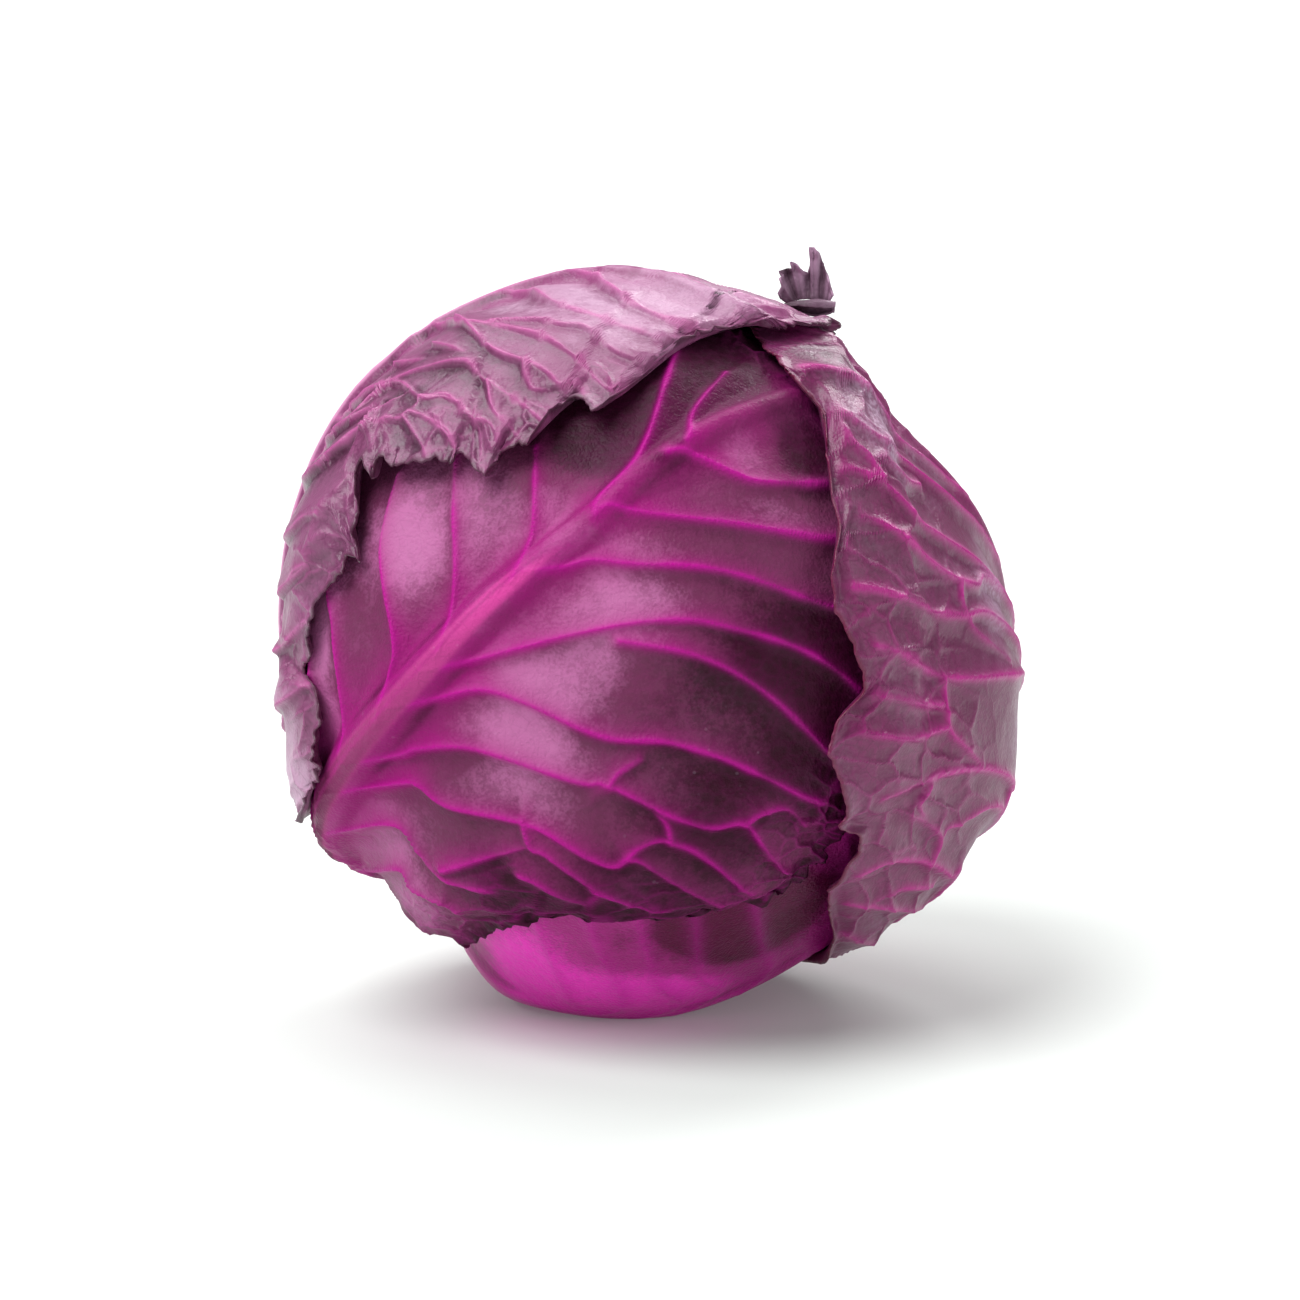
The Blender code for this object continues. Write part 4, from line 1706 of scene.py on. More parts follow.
@dataclass
class TipCurl:
    """The crumpled tip of the top leaf: a small hooked fan above two rolled folds."""

    head: Head
    foot_mm: tuple[float, float, float] = (35.0, 1.0, 158.6)
    rim_mm: tuple[tuple[float, float], ...] = (
        (-5.8, 0.0), (-6.4, 1.4), (-5.6, 3.0), (-6.1, 4.7), (-5.4, 5.3), (-6.3, 6.2), (-4.6, 6.6),
        (-3.0, 6.7), (-3.7, 8.3), (-2.4, 7.9), (-1.0, 6.2), (0.3, 5.6), (0.9, 7.6), (0.9, 9.6),
        (1.3, 10.6), (0.4, 11.5), (1.5, 11.5), (2.5, 10.4), (3.6, 7.8), (4.6, 5.2), (5.2, 2.8),
        (5.8, 0.9))
    thick_mm: float = 0.5
    foot_width_mm: float = 9.4
    pleat_turns: float = 11.0
    crease_turns: float = 64.0
    bow_mm: float = 1.7
    hook_mm: float = 0.9
    fold_radius_mm: float = 2.1
    fold_drop_mm: float = 3.9
    fold_step_mm: float = 4.2
    across_points: int = 241
    up_points: int = 81
    # Mixed by the pleat mask: painted shade in the grooves and on the lower fold, painted highlight on
    # the crests.
    finish: PlainFinish = PlainFinish("curl_skin", tint(44, 12, 30), tint(176, 138, 166), mask="pleat_shading")

    def fan(self) -> tuple[np.ndarray, np.ndarray]:
        """Middle surface of the fan, from its foot to its hooked rim.

        Returns:
            A grid of points in mm, and for each its painted light, paler up the fan and on the pleats'
            crests and darker in their grooves.
        """
        rim = np.array(self.rim_mm)
        steps = np.hypot(*np.diff(rim, axis=0).T)
        run = np.concatenate([[0.0], np.cumsum(steps)]) / np.sum(steps)
        u = np.linspace(0.0, 1.0, self.across_points)[None, :]
        v = np.linspace(0.0, 1.0, self.up_points)[:, None]
        rim_x, rim_z = np.interp(u, run, rim[:, 0]), np.interp(u, run, rim[:, 1])
        bow = np.sin(math.pi * u)
        foot_x, foot_z = -4.4 + self.foot_width_mm * u, -0.9 + 0.8 * bow
        rise = 1.0 - (1.0 - v) ** 1.15
        x = foot_x + (rim_x - foot_x) * rise
        z = foot_z + (rim_z - foot_z) * rise
        wave = 2.0 * np.abs(np.sin(self.pleat_turns * u + 0.5)) - 1.0
        wave = wave + 0.3 * np.sin(self.crease_turns * u)
        pleat = wave * (0.15 + 0.85 * v) - self.bow_mm * bow * v
        hook = self.hook_mm * smooth_step(0.7, 1.0, v)
        places = np.stack([x, -pleat - hook - 1.0, z], axis=-1)
        places[..., 1] += 0.35 * value_noise(places, 1.9, 5)
        return places, np.clip((0.1 + 0.6 * v) * (0.7 + 0.9 * wave), 0.0, 1.0)

    def build(self) -> bpy.types.Object:
        """Builds the fan and the two folds as closed sheets in one mesh.

        Returns:
            The curl's object.
        """
        points, faces, pleat_shading = [], [], []
        for places, share in (self.fan(), self.fold(0), self.fold(1)):
            normal = np.cross(np.gradient(places, axis=1), np.gradient(places, axis=0))
            normal /= np.linalg.norm(normal, axis=-1, keepdims=True) + 1e-12
            start = sum(len(p) for p in points)
            index = start + np.arange(share.size).reshape(share.shape)
            half = 0.5 * self.thick_mm
            points.append((places + half * normal).reshape(-1, 3))
            points.append((places - half * normal).reshape(-1, 3))
            pleat_shading += [share.reshape(-1), share.reshape(-1)]
            ring = rim(index)
            after = np.roll(ring, -1)
            walls = [after, ring, ring + share.size, after + share.size]
            faces += quads(index).tolist() + (quads(index) + share.size)[:, ::-1].tolist()
            faces += np.stack(walls, axis=-1).tolist()
        placed = (np.concatenate(points) + np.array(self.foot_mm)) * self.head.unit
        placed += self.head.centre - np.array(HEAD_CENTRE_MM) * self.head.unit
        item = make_piece("top_leaf_curl", placed, faces)
        # Stores the painted pleat light and shade.
        set_mask(item, "pleat_shading", np.concatenate(pleat_shading))
        return item

    def dress(self, item: bpy.types.Object, painter: Painter) -> None:
        """Gives the curl its finish."""
        painter.plain(item, self.finish)

    def fold(self, number: int) -> tuple[np.ndarray, np.ndarray]:
        """Middle surface of one rolled fold at the foot of the fan.

        Args:
            number: 0 for the upper fold and 1 for the lower one.

        Returns:
            A grid of points in mm, and for each its painted light: none on the lower fold, left dark as
            painted shade, rising to 0.4 along the upper fold.
        """
        u = np.linspace(0.0, 1.0, 81)[:, None]
        turn = np.linspace(0.15, 1.55 * math.pi, 41)[None, :]
        swell = np.sin(math.pi * np.clip(u, 0.05, 0.95)) ** 0.5
        radius = (self.fold_radius_mm + 0.3 * number) * (0.45 + 0.65 * u) * swell
        x = -5.0 + 1.2 * number + (11.2 - 2.8 * number) * u + 0.0 * turn
        y = -4.0 - self.fold_step_mm * number - 1.4 * np.sin(math.pi * u) - radius * np.cos(turn)
        z = -1.2 - self.fold_drop_mm * number - (0.4 + 0.9 * number) * u + radius * np.sin(turn)
        places = np.stack([x, y, z], axis=-1)
        places += 0.4 * value_noise(places, 2.0, 8 + number)[..., None]
        return places, np.broadcast_to((1.0 - number) * 0.4 * u, places.shape[:2])


# ---- The leaves' sizes and colours ----


def leaf_plans() -> tuple[LeafPlan, ...]:
    """Plans of the six leaves, from the innermost to the outermost."""
    hidden = (Tear(Margin.LEFT, 1.2), Tear(Margin.RIGHT, 1.2), Tear(Margin.TIP, 1.0))
    inner = LeafPlan(
        node="inner_left_leaf", aim=(-80.0, -2.0), tip_aim=(-60.0, 60.0),
        left=((-30, -32), (-20, -36), (-4, -40), (20, -42), (42, -34), (58, -18)),
        right=((-30, 14), (-18, 24), (0, 34), (22, 36), (44, 26), (58, 10)),
        base=(-30.0, -28.0, -27.0), tip=(44.0, 58.0, 44.0),
        midrib=((-28, -9), (-6, -3), (20, 0), (52, 0)),
        grown_left=5, grown_right=5, tears=hidden, rows=145, columns=145, seed=11,
        relief=Relief(net_margin_mm=1.0))
    back = LeafPlan(
        node="back_leaf", aim=(180.0, 0.0), tip_aim=(60.0, 62.0),
        left=((-66, 2), (-56, -6), (-44, -20), (-22, -40), (6, -54), (36, -54), (62, -40), (84, -16)),
        right=((-66, 44), (-56, 46), (-20, 56), (8, 58), (40, 54), (66, 38), (84, 14)),
        base=(-61.0, -64.0, -58.0), tip=(66.0, 84.0, 66.0),
        midrib=((-63, 20), (-30, 8), (0, 2), (40, 0), (80, 0)),
        grown_left=8, grown_right=8, tears=hidden, rows=225, columns=225, seed=12,
        relief=Relief(rib_mm=3.4, net_mm=0.4))
    under = LeafPlan(
        node="under_leaf", aim=(10.0, -70.0), tip_aim=(75.0, 0.0),
        left=((-50, -10), (-42, -20), (-27, -36), (-8, -48), (18, -50), (42, -42), (62, -26),
              (76, -10)),
        right=((-50, 30), (-42, 32), (-28, 34), (-6, 36), (20, 40), (46, 34), (62, 22), (76, 8)),
        base=(-46.0, -48.0, -49.0), tip=(60.0, 76.0, 60.0),
        midrib=((-47, 6), (-30, 1), (-12, 0), (24, 10), (60, 12)),
        veins=(((-6, -6), (-6, -29), (-5, -44)), ((2, -2), (1, -13), (3, -31), (6, -46)),
               ((8, 0), (8, -12), (18, -44)), ((16, 4), (18, -6), (23, -24), (30, -42)),
               ((-14, -4), (-17, -38)),
               ((28, 8), (34, -4), (46, -32))),
        grown_right=6, tears=hidden, rows=225, columns=225, seed=13, floor_mm=0.05, fill_mm=1.6,
        relief=Relief(rib_mm=2.4, vein_mm=0.6, vein_width_mm=2.4, sag_mm=0.4, net_mm=0.0,
                      net_sag_mm=0.0, net_margin_mm=1.0, pucker_mm=0.45),
        # Painted light along the bottom, as lit from the floor, and painted shade at the right, under
        # the right leaf.
        shading_and_tone_patches=(Patch(-20, -17, 0.5, 10), Patch(-19, -3, 0.5, 9), Patch(-3, -8, 0.5, 8),
               Patch(-10, -4, 0.5, 11), Patch(6, -3, 0.45, 9), Patch(0, -24, -0.1, 8),
               Patch(22, -14, -1.2, 12), Patch(14, -26, -0.6, 9)))
    front = LeafPlan(
        node="front_leaf", aim=(-17.0, 20.0), tip_aim=(32.0, 51.0),
        left=((-90, -12), (-66, -21), (-52, -28), (-42, -35), (-32, -46), (-10, -56), (16, -56),
              (40, -46), (56, -30), (68, -16)),
        right=((-90, 10), (-76, 17), (-59, 24), (-51, 32), (-42, 53), (-37, 61), (-30, 67), (-14, 69),
               (6, 67), (24, 61), (38, 49), (57, 17), (68, 4)),
        base=(-85.0, -88.0, -84.0), tip=(54.0, 68.0, 52.0),
        midrib=((-88, -4), (-66, -9.5), (-27, -4), (-9, -2.5), (8, 0), (26, 0), (60, 4)),
        veins=(((28.5, 2), (32, 9), (34.5, 12), (41, 16), (48, 19)),
               ((14, 1), (19, 7.5), (28.5, 17), (37, 24), (45, 28)),
               ((2, 2), (6, 4.5), (10.5, 10), (19, 18.5), (29.5, 31.5), (38, 38)),
               ((-16.5, 1.5), (6.5, 18), (16, 28.5), (24, 39), (30, 50)),
               ((-25.5, 0), (-20, 4.5), (-17, 11), (-13.5, 23.5), (-7.5, 31.5), (-3, 40.5),
                (1.5, 52.5), (4, 57)),
               ((-37.5, -0.5), (-34.5, 1.5), (-28, 9), (-22, 24.5), (-19.5, 28.5), (-16.5, 43.5),
                (-11.5, 48.5), (-14.5, 54), (-20, 61)),
               ((-42.5, 1), (-40, 4), (-39.5, 9.5), (-33.5, 20.5), (-32, 26), (-32, 32), (-31, 35.5),
                (-26, 37), (-22, 40.5), (-23, 48.5), (-28.5, 57)),
               ((-51, 2.5), (-52, 8), (-52, 13.5), (-47.5, 21.5)),
               ((-60, 5), (-60, 9), (-57, 14.5), (-56.5, 18)),
               ((-16, -5.5), (-8.5, -12), (6, -28)),
               ((-29, -8), (-24, -11), (-17, -22), (-13, -26), (-6, -31)),
               ((0, -4), (4, -6.5), (13, -16)),
               ((-43, -10), (-38, -14.5), (-31, -23), (-26, -32), (-20, -40)),
               ((-50.5, -15), (-45.5, -19), (-40, -25), (-35.5, -31.5)),
               ((13.5, -1.5), (23, -3), (35, -10), (44, -16)),
               ((31, -0.5), (35, -3.5), (45, -6.5))),
        branches=(((0, 16), (7, 26), (11, 36), (13, 47), (14, 59)),
                  ((-28.5, 36.5), (-28.5, 39.5), (-33, 53)),
                  ((-33, 20.5), (-36, 23.5), (-35.5, 26.5), (-37.5, 34.5), (-41, 34.5)),
                  ((-50.5, 13), (-36, 23.5)),
                  ((-41.5, 24), (-41, 27), (-41.5, 30.5), (-41, 34)),
                  ((-37.5, 34.5), (-38, 41.5), (-37.5, 46)),
                  ((-22, 40.5), (-19.5, 38.5), (-18.5, 35.5)),
                  ((-19.5, 28.5), (-17, 28.5), (-13, 30)),
                  ((-11.5, 48.5), (-7, 50), (-3, 53), (-4, 58))),
        tears=(Tear(Margin.RIGHT, 3.6, 7.0, 1.5, 2.2, 3.2, 6.5, 9.0, 0.8, stop=20.0),
               Tear(Margin.LEFT, 1.2), Tear(Margin.TIP, 1.0)),
        relief=Relief(rib_mm=4.0, rib_width_mm=5.6, rib_tip_mm=1.0, rib_tip_width_mm=1.8,
                      vein_mm=0.7, vein_width_mm=0.8, sag_mm=2.8, sag_width_mm=5.0,
                      net_margin_mm=26.0, net_mm=0.4, net_cell_mm=7.5, net_width_mm=0.7,
                      net_sag_mm=0.9, pucker_mm=0.5, stalk_mm=3.6, lee=0.8, dark_margin=0.45),
        nets=(Patch(-48, 26, 0.8, 9), Patch(-40, 44, 0.8, 10), Patch(-10, 58, 0.6, 10)),
        # Painted highlights on the lit left part and beside the midrib; painted shade under the top
        # leaf's margin, at the right and towards the lower margin.
        shading_and_tone_patches=(Patch(-46, -16, 0.9, 5), Patch(-38, -24, 0.8, 4), Patch(-32, -28, 0.6, 4),
               Patch(-26, -31, 0.4, 4), Patch(-14, -22, 0.3, 7), Patch(-7, -20, 0.3, 13),
               Patch(5, -6, 0.35, 8), Patch(4, 11, 0.4, 11), Patch(-16, 10, 0.5, 9),
               Patch(-7, 18, 0.2, 7), Patch(-11, 21, -0.15, 7), Patch(-25, 19, 0.35, 10),
               Patch(-52, 4, 0.25, 10), Patch(-66, 9, 0.4, 9), Patch(-58, -8, 0.4, 10),
               Patch(37, 4, 0.6, 7), Patch(34, 17, 0.15, 7), Patch(38, -10, -1.0, 14),
               Patch(19, -11, -0.5, 9), Patch(46, 12, -0.6, 8), Patch(4, 28, -0.25, 8),
               Patch(15, 31, -0.2, 8), Patch(24, 40, -0.6, 12), Patch(11, 52, -0.6, 15),
               Patch(-16, 44, -0.4, 13), Patch(-42, 42, -0.5, 14), Patch(-47, 22, -0.4, 9)),
        focus_along=Focus(0.53, 0.4, 0.5), focus_across=Focus(0.6, 0.3, 0.8), fill_mm=3.4,
        seed=14)
    right = LeafPlan(
        node="right_leaf", aim=(85.0, 5.0), tip_aim=(60.0, 62.0),
        left=((-134, 2), (-116, 6), (-98, 11), (-84, 7), (-72, -7), (-63, -24), (-56, -33),
              (-50, -43), (-47, -47), (-40, -53), (-31, -53), (-28, -52), (-22, -54), (-20.5, -57.5),
              (-18.5, -59), (-15, -58), (-11, -58.5), (3.5, -60.5), (11, -57.5), (14, -52),
              (33, -49.5), (39, -45.5), (41, -42), (42, -38.5), (46, -35), (51, -28.5), (53.5, -21),
              (55, -20.5), (58, -19.5), (64, -16), (68, -12)),
        right=((-134, 18), (-118, 24), (-98, 38), (-76, 50), (-50, 62), (-22, 68), (8, 66), (36, 54),
               (54, 36), (68, 18)),
        base=(-131.0, -133.0, -130.0), tip=(60.0, 68.0, 54.0),
        midrib=((-130, 9), (-106, 18), (-76, 26), (-40, 22), (0, 12), (40, 4), (64, 0)),
        veins=(((35.5, -6.5), (39, -8.5), (44, -8.5), (48, -9.5), (59, -14)),
               ((22, -4.5), (29, -9.5), (35.5, -13), (41, -17.5), (45, -19.5), (51, -20.5)),
               ((10, -7.5), (28.5, -22.5), (40, -26), (47, -29.5)),
               ((9.5, -8.5), (12.5, -16), (18, -22.5), (29, -29.5), (36, -32), (39.5, -34)),
               ((4, -12), (11, -24), (18, -33), (33, -44)),
               ((-10, -3), (-4, -14.5), (4.5, -33.5), (20.5, -46.5)),
               ((-28, -11), (-24.5, -9.5), (-17.5, -21), (-14, -33), (-13, -51)),
               ((-28.5, -11), (-25.5, -29), (-28, -31.5)),
               ((-41, -16), (-37, -22), (-33, -31), (-31.5, -39), (-31.5, -43.5), (-34.5, -49)),
               ((-52, -4), (-46, -20), (-44, -34), (-44, -44)),
               ((-66, 14), (-60, -2), (-56, -18), (-54, -32))),
        branches=(((40, -25.5), (44, -24.5), (47, -24.5), (49.5, -23)),
                  ((32, -15), (35.5, -19), (41.5, -22), (43, -24)),
                  ((16, -20.5), (13.5, -22.5), (10.5, -22.5), (6, -21), (-2, -14)),
                  ((0, -35.5), (4, -42), (12, -50.5)),
                  ((4.5, -33.5), (-4.5, -35), (-11, -30), (-15.5, -25.5)),
                  ((-4.5, -35.5), (-2, -44.5), (4.5, -54)),
                  ((-33, -31), (-28, -31.5), (-24.5, -35.5), (-20, -42.5)),
                  ((-38.5, -26), (-38.5, -33), (-40.5, -36), (-43, -38)),
                  ((-15, -39), (-18, -41), (-22, -38.5))),
        grown_right=9, soften=0.25,
        tears=(Tear(Margin.LEFT, 0.5, 6.0, 0.3, 2.2, 1.1, 12.0, 7.0, 1.4, start=-66.0),
               Tear(Margin.RIGHT, 1.6), Tear(Margin.TIP, 1.2)),
        lifts=(Lift(28.0, -50.0, 3.6, 24.0, 12.0), Lift(-10.0, -56.0, 2.5, 14.0, 9.0),
               Lift(-34.0, -54.0, 4.0, 24.0, 16.0), Lift(50.0, 4.0, 2.5, 12.0, 80.0),
               Lift(-6.0, -6.0, 2.5, 14.0, 80.0), Lift(-26.0, -10.0, 3.0, 14.0, 80.0)),
        relief=Relief(rib_mm=2.6, vein_mm=0.6, vein_width_mm=1.0, net_mm=0.25,
                      net_cell_mm=11.0, net_width_mm=0.7, sag_mm=2.4, net_sag_mm=0.4,
                      pucker_mm=0.6, lee=0.5),
        # Painted light and painted shade across the right leaf.
        shading_and_tone_patches=(Patch(2, -15, 0.2, 10), Patch(-10, -44, 0.1, 12), Patch(40, -36, -0.15, 12),
               Patch(56, -6, -0.4, 9)),
        # Wax bloom patches that also paint the leaf's pale sheen.
        wax_and_sheen_patches=(Patch(46, -14, 0.8, 6), Patch(38, -18, 0.7, 5), Patch(2, -8, 0.8, 7),
                Patch(-20, -8, 0.8, 8), Patch(-33, -13, 0.5, 6), Patch(12, -9, 0.6, 6),
                Patch(25, -11, 0.6, 6), Patch(35, -7, 0.6, 6), Patch(-44, -24, 0.3, 7)),
        bloom_low=0.08,
        focus_along=Focus(0.69, 0.28, 1.2), focus_across=Focus(0.2, 0.22, 1.6), fill_mm=3.2,
        seed=15)
    top = LeafPlan(
        node="top_leaf", aim=(-112.0, 44.0), tip_aim=(60.0, 64.0),
        left=((-72, -8), (-62, -14), (-50, -24), (-28, -38), (-4, -48), (22, -50), (46, -43),
              (64, -31), (77, -20)),
        right=((-76, 40), (-73, 50), (-69, 57), (-65, 59.5), (-51, 60.5), (-43.5, 58.5), (-40, 54),
               (-35, 57), (-22, 56.5), (-14.5, 57), (-7.5, 58.5), (-6.5, 57), (-5, 56.5), (-3, 58),
               (-2, 61), (-1, 55.5), (3.5, 52.5), (6, 48.5), (9.5, 45.5), (11.5, 52.5), (13, 46.5),
               (16, 50.5), (17.5, 49.5), (22, 51), (27, 51), (31, 53), (32, 50), (37.5, 54),
               (40.5, 55), (42, 51), (44, 50), (50, 49.5), (51, 42.5), (53.5, 39.5), (59, 42),
               (62.5, 31.5), (63, 23), (69, 13), (77, 4)),
        base=(-66.0, -71.0, -75.0), tip=(68.0, 77.0, 73.0),
        midrib=((-70, 8), (-40, 14), (-10, 13), (12, 7.5), (20, 4.5), (28, 2), (37, 2.5), (45, 4.5),
                (52, 5.5), (66, 9.5), (72, 8.5)),
        veins=(((40, 3), (47, 1), (54, 0.5), (59, 1), (64.5, 3.5), (71, 3)),
               ((35, 2.5), (41, 6), (44.5, 10.5), (50.5, 15.5), (53.5, 17), (59.5, 18.5), (65, 18)),
               ((22, 4), (26, 4.5), (30, 7.5), (38, 16.5), (46.5, 21.5), (60, 23.5)),
               ((12, 8), (16, 10), (21, 16.5), (26, 22), (42.5, 28), (56.5, 35.5), (61, 36)),
               ((-8, 13), (2, 22.5), (12, 29), (21, 31.5), (27.5, 32.5), (30.5, 33.5), (35, 37.5),
                (49, 44.5)),
               ((-16, 13.5), (-4, 27), (4, 31.5), (11, 29.5), (15.5, 31.5), (22.5, 39), (28, 40),
                (35.5, 46), (38, 52)),
               ((-24, 14), (-12, 30), (-4, 37), (9, 38.5), (19, 42), (21, 41.5), (29.5, 47),
                (31.5, 51)),
               ((-36, 14), (-22, 34), (-15, 42), (-9, 45), (-5, 48)),
               ((-44, 14), (-33, 36), (-24, 46), (-15, 51)),
               ((-54, 12), (-44, 34), (-36, 48), (-26, 55)),
               ((-64, 10), (-56, 32), (-48, 50), (-42, 56))),
        branches=(((31, 23.5), (39.5, 24), (44, 25), (48, 25), (55, 28.5), (60.5, 29)),
                  ((22, 17), (33, 30), (45, 35), (49.5, 37.5), (52.5, 36.5), (56, 40)),
                  ((40.5, 33.5), (44, 38.5), (47.5, 38.5)),
                  ((35, 37.5), (38.5, 43.5), (47.5, 49)),
                  ((35.5, 45.5), (38.5, 46), (42.5, 50)),
                  ((22.5, 39), (21, 41.5)), ((19.5, 42), (25, 50.5)),
                  ((9, 38.5), (12, 36.5), (17, 36.5), (19, 35.5)),
                  ((5, 33), (8, 33.5), (11.5, 35)), ((13, 25), (19.5, 28)),
                  ((21.5, 26), (28.5, 30.5))),
        grown_left=8, soften=0.35,
        tears=(Tear(Margin.RIGHT, 0.9, 4.0, 0.7, 2.2, 2.2, 9.0, 7.0, 1.0),
               Tear(Margin.RIGHT, 1.0, 3.0, 0.7, 2.4, 0.9, 5.0, 7.0, 0.3, start=-78.0, stop=-4.0),
               Tear(Margin.LEFT, 1.6), Tear(Margin.TIP, 2.0, 7.0, 0.8, 2.0, 1.6)),
        lifts=(Lift(-52.0, 42.0, 1.8, 24.0), Lift(-14.0, 20.0, -2.5, 18.0, 80.0),
               Lift(6.0, 26.0, -2.6, 15.0, 80.0), Lift(-32.0, 42.0, -3.4, 14.0, 80.0),
               Lift(10.0, 46.0, 4.5, 18.0, 12.0), Lift(44.0, 52.0, 4.0, 16.0, 12.0)),
        relief=Relief(rib_mm=2.2, rib_width_mm=2.4, vein_mm=0.6, vein_width_mm=0.6, net_mm=0.25,
                      net_cell_mm=10.0, net_width_mm=0.7, net_sag_mm=0.5, net_margin_mm=20.0,
                      sag_mm=3.8, sag_width_mm=4.0, pucker_mm=0.6, lee=1.3,
                      dark_margin=0.15),
        # Painted highlight over the top, painted shade lower down towards the margin, and the pale base
        # of the leaf at its lower end.
        shading_and_tone_patches=(Patch(37, 12, 0.35, 12), Patch(59, 7, 0.3, 16), Patch(52, 22, 0.25, 10),
               Patch(22, 38, -0.2, 12), Patch(-3, 34, -0.15, 12), Patch(46, 46, -0.2, 8),
               Patch(-68, 48, 0.6, 10), Patch(-50, 50, 0.3, 8)),
        focus_across=Focus(0.8, 0.28, 1.6), vein_slant=34.0, fill_mm=2.7,
        seed=16)
    return inner, back, under, front, right, top


def leaf_finishes() -> dict[str, LeafFinish]:
    """The finish of each leaf, by node.  Light colours are painted highlights and shade colours painted
    shade.
    """
    return {
        "inner_left_leaf": LeafFinish(
            "deep_inner_leaf", shade=tint(44, 2, 20), blade=tint(70, 4, 34), light=tint(96, 14, 56),
            glow=tint(84, 6, 44), vein=tint(120, 14, 66), rib=tint(130, 24, 80),
            stalk=tint(170, 90, 130), rim=tint(40, 2, 18), bloom_amount=0.0),
        "back_leaf": LeafFinish(
            "back_leaf_skin", shade=tint(60, 22, 46), blade=tint(94, 40, 74),
            light=tint(132, 74, 112), glow=tint(116, 24, 84), vein=tint(150, 56, 118),
            rib=tint(170, 70, 136), stalk=tint(200, 140, 178), rim=tint(56, 16, 36),
            bloom_amount=0.25),
        # The under leaf's light colour is painted light from the floor below it.
        "under_leaf": LeafFinish(
            "bright_under_leaf", shade=tint(84, 0, 50), blade=tint(166, 40, 126),
            light=tint(252, 60, 204), glow=tint(172, 4, 132), vein=tint(206, 20, 164),
            rib=tint(200, 40, 160), stalk=tint(205, 110, 168), rim=tint(84, 4, 46),
            bloom_amount=0.0, roughness=0.32, glow_amount=0.3, vein_amount=0.3,
            specular=0.22, grain_mm=0.12),
        "front_leaf": LeafFinish(
            "front_leaf_skin", shade=tint(46, 4, 26), blade=tint(104, 44, 78),
            light=tint(180, 104, 154), glow=tint(150, 2, 110), vein=tint(178, 6, 138),
            rib=tint(200, 62, 146), stalk=tint(116, 40, 84), rim=tint(50, 8, 30),
            bloom_amount=0.03, glow_amount=0.8, net_amount=0.35, roughness=0.44,
            specular=0.13, grain_mm=0.1),
        "right_leaf": LeafFinish(
            "dark_right_leaf", shade=tint(60, 12, 40), blade=tint(106, 36, 78),
            light=tint(140, 72, 114), glow=tint(134, 16, 96), vein=tint(184, 28, 136),
            rib=tint(170, 60, 132), stalk=tint(200, 140, 176), rim=tint(96, 8, 44),
            glow_amount=0.75, vein_amount=1.0, bloom_amount=0.75, net_amount=0.3,
            roughness=0.3, specular=0.34),
        "top_leaf": LeafFinish(
            "pale_top_leaf", shade=tint(60, 18, 44), blade=tint(122, 68, 102),
            light=tint(182, 146, 172), glow=tint(146, 40, 112), vein=tint(192, 92, 156),
            rib=tint(196, 110, 162), stalk=tint(216, 160, 194), rim=tint(60, 16, 38),
            glow_amount=0.4, vein_amount=0.75, net_amount=0.25, bloom_amount=0.15,
            roughness=0.3, specular=0.34),
    }


# ---- Stage ----


@dataclass(frozen=True)
class Sun:
    """A wide soft light: the side it comes from, its strength and its width in degrees."""

    name: str
    azimuth: float
    elevation: float
    strength: float
    width: float


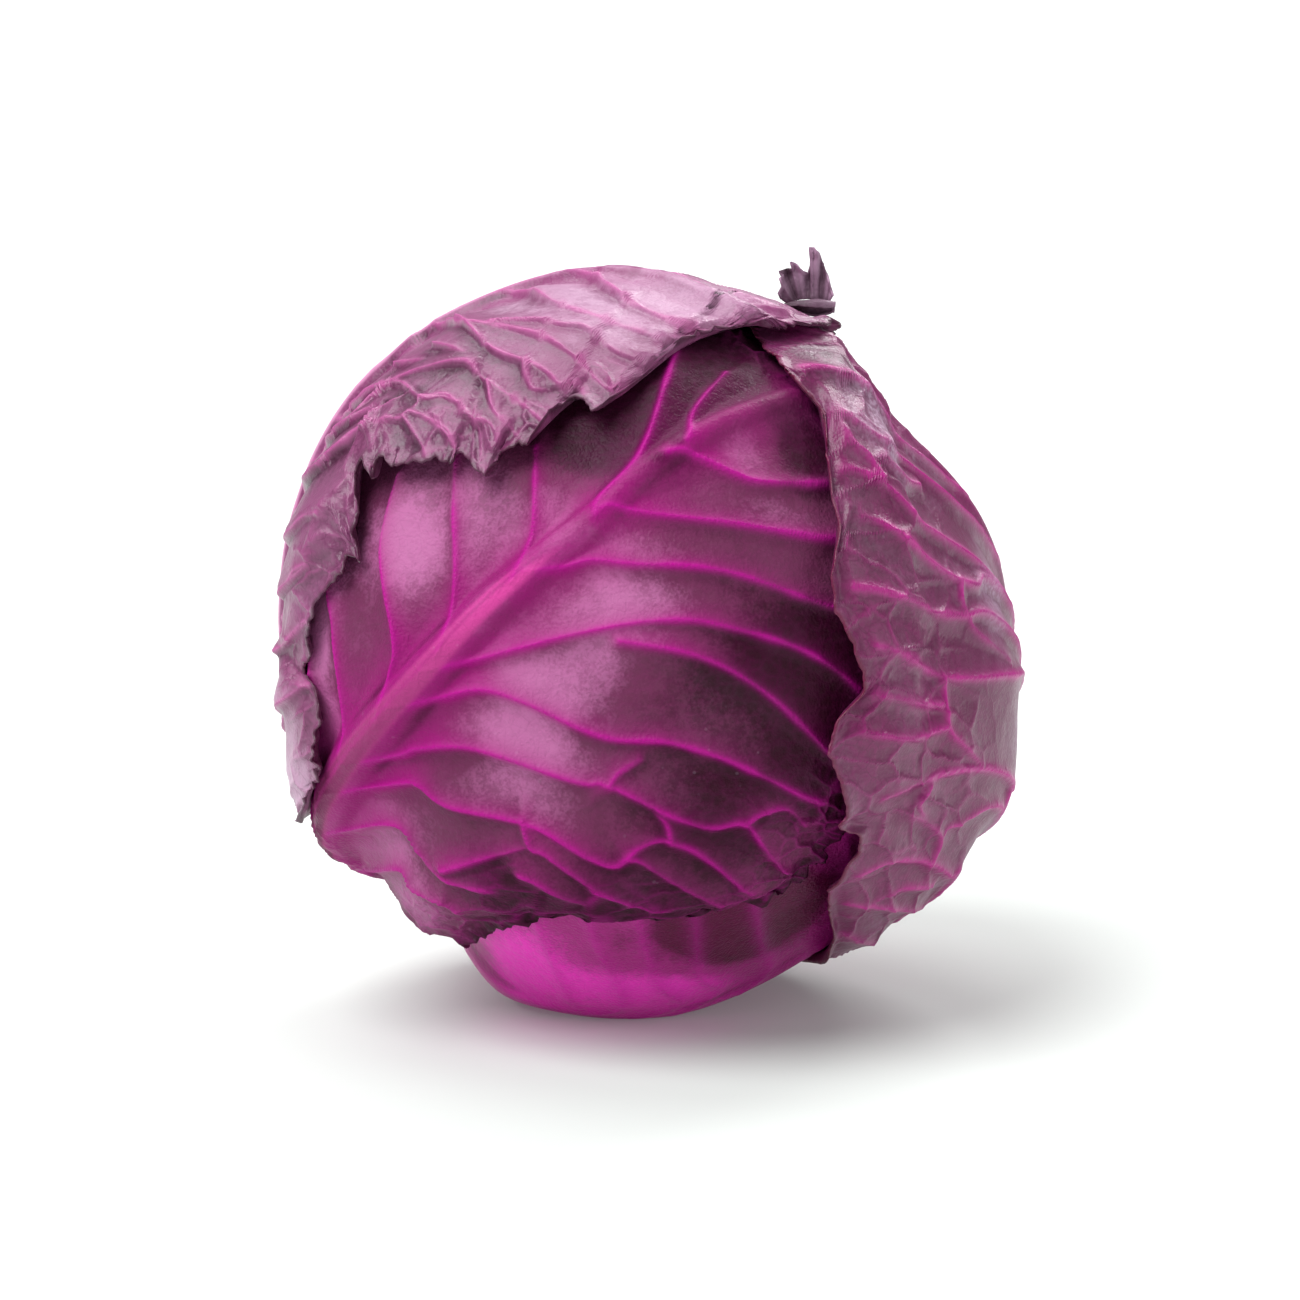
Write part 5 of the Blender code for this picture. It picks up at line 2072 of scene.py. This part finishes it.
@dataclass
class Studio:
    """Floor, lights and camera round the head."""

    centre: np.ndarray
    elevation: float = 10.0
    distance: float = 1.0
    lens_mm: float = 123.2
    aim_below: float = 0.00225
    floor_width: float = 40.0
    sky: float = 0.22
    floor_glow: float = 0.1
    floor_tone: Colour = (0.6, 0.63, 0.61)
    suns: tuple[Sun, ...] = (
        Sun("key_light", -56.0, 55.0, 3.4, 44.0),
        Sun("top_light", -150.0, 62.0, 1.5, 40.0),
        Sun("back_light", 150.0, 42.0, 1.9, 30.0),
        Sun("side_light", 78.0, 30.0, 0.6, 40.0),
    )

    def build(self) -> None:
        """Sets up everything round the head."""
        self.floor()
        self.world()
        for sun in self.suns:
            self.shine(sun)
        self.camera()

    def floor(self) -> None:
        """Lays a wide pale floor under the head."""
        half = 0.5 * self.floor_width
        data = bpy.data.meshes.new("floor")
        data.from_pydata([(-half, -half, 0), (half, -half, 0), (half, half, 0), (-half, half, 0)],
                         [], [(0, 1, 2, 3)])
        item = bpy.data.objects.new("studio_floor", data)
        bpy.context.scene.collection.objects.link(item)
        material, bench, skin = Painter.surface("pale_floor")
        bench.feed(skin.inputs["Base Color"], self.floor_tone)
        bench.feed(skin.inputs["Emission Color"], (1.0, 1.0, 1.0))
        skin.inputs["Emission Strength"].default_value = self.floor_glow
        skin.inputs["Roughness"].default_value = 1.0
        skin.inputs["Specular IOR Level"].default_value = 0.0
        data.materials.append(material)

    def world(self) -> None:
        """Surrounds the stage with soft white light."""
        world = bpy.data.worlds.new("soft_white")
        world.use_nodes = True
        back = world.node_tree.nodes["Background"]
        back.inputs[0].default_value = (1.0, 1.0, 1.0, 1.0)
        back.inputs[1].default_value = self.sky
        bpy.context.scene.world = world

    def shine(self, sun: Sun) -> None:
        """Adds one wide soft light to the stage.

        Args:
            sun: where it comes from, how strong and how wide it is.
        """
        data = bpy.data.lights.new(sun.name, "SUN")
        data.energy = sun.strength
        data.angle = math.radians(sun.width)
        item = bpy.data.objects.new(sun.name, data)
        side = Vector(aim_vector(sun.azimuth, sun.elevation))
        item.rotation_euler = side.to_track_quat("Z", "Y").to_euler()
        bpy.context.scene.collection.objects.link(item)

    def camera(self) -> None:
        """Places the camera in front of the head, a little above it."""
        rise = math.radians(self.elevation)
        back = np.array([0.0, -math.cos(rise), math.sin(rise)])
        up = np.array([0.0, math.sin(rise), math.cos(rise)])
        data = bpy.data.cameras.new("camera")
        data.lens = self.lens_mm
        data.sensor_width = 36.0
        item = bpy.data.objects.new("camera", data)
        item.location = self.centre - up * self.aim_below + back * self.distance
        item.rotation_euler = Vector(back).to_track_quat("Z", "Y").to_euler()
        bpy.context.scene.collection.objects.link(item)
        bpy.context.scene.camera = item


def main() -> None:
    """Builds the head from the heart outward, then the stage."""
    logging.basicConfig(level=logging.INFO, format="%(message)s")
    scene = bpy.context.scene
    scene.view_settings.view_transform = "Standard"
    head = Head()
    painter = Painter()
    finishes = leaf_finishes()
    leaves = ((plan.node, Leaf(plan, head, finishes[plan.node])) for plan in leaf_plans())
    parts = (("heart", Heart(head)), ("stem", Stem(head)), *leaves, ("top_leaf", TipCurl(head)))
    for node, part in parts:
        item = part.build()
        part.dress(item, painter)
        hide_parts(node)
        log.info("%s: %d faces", item.name, len(item.data.polygons))
    Studio(np.array([0.0, 0.0, head.centre[2]])).build()


if __name__ == "__main__":
    main()
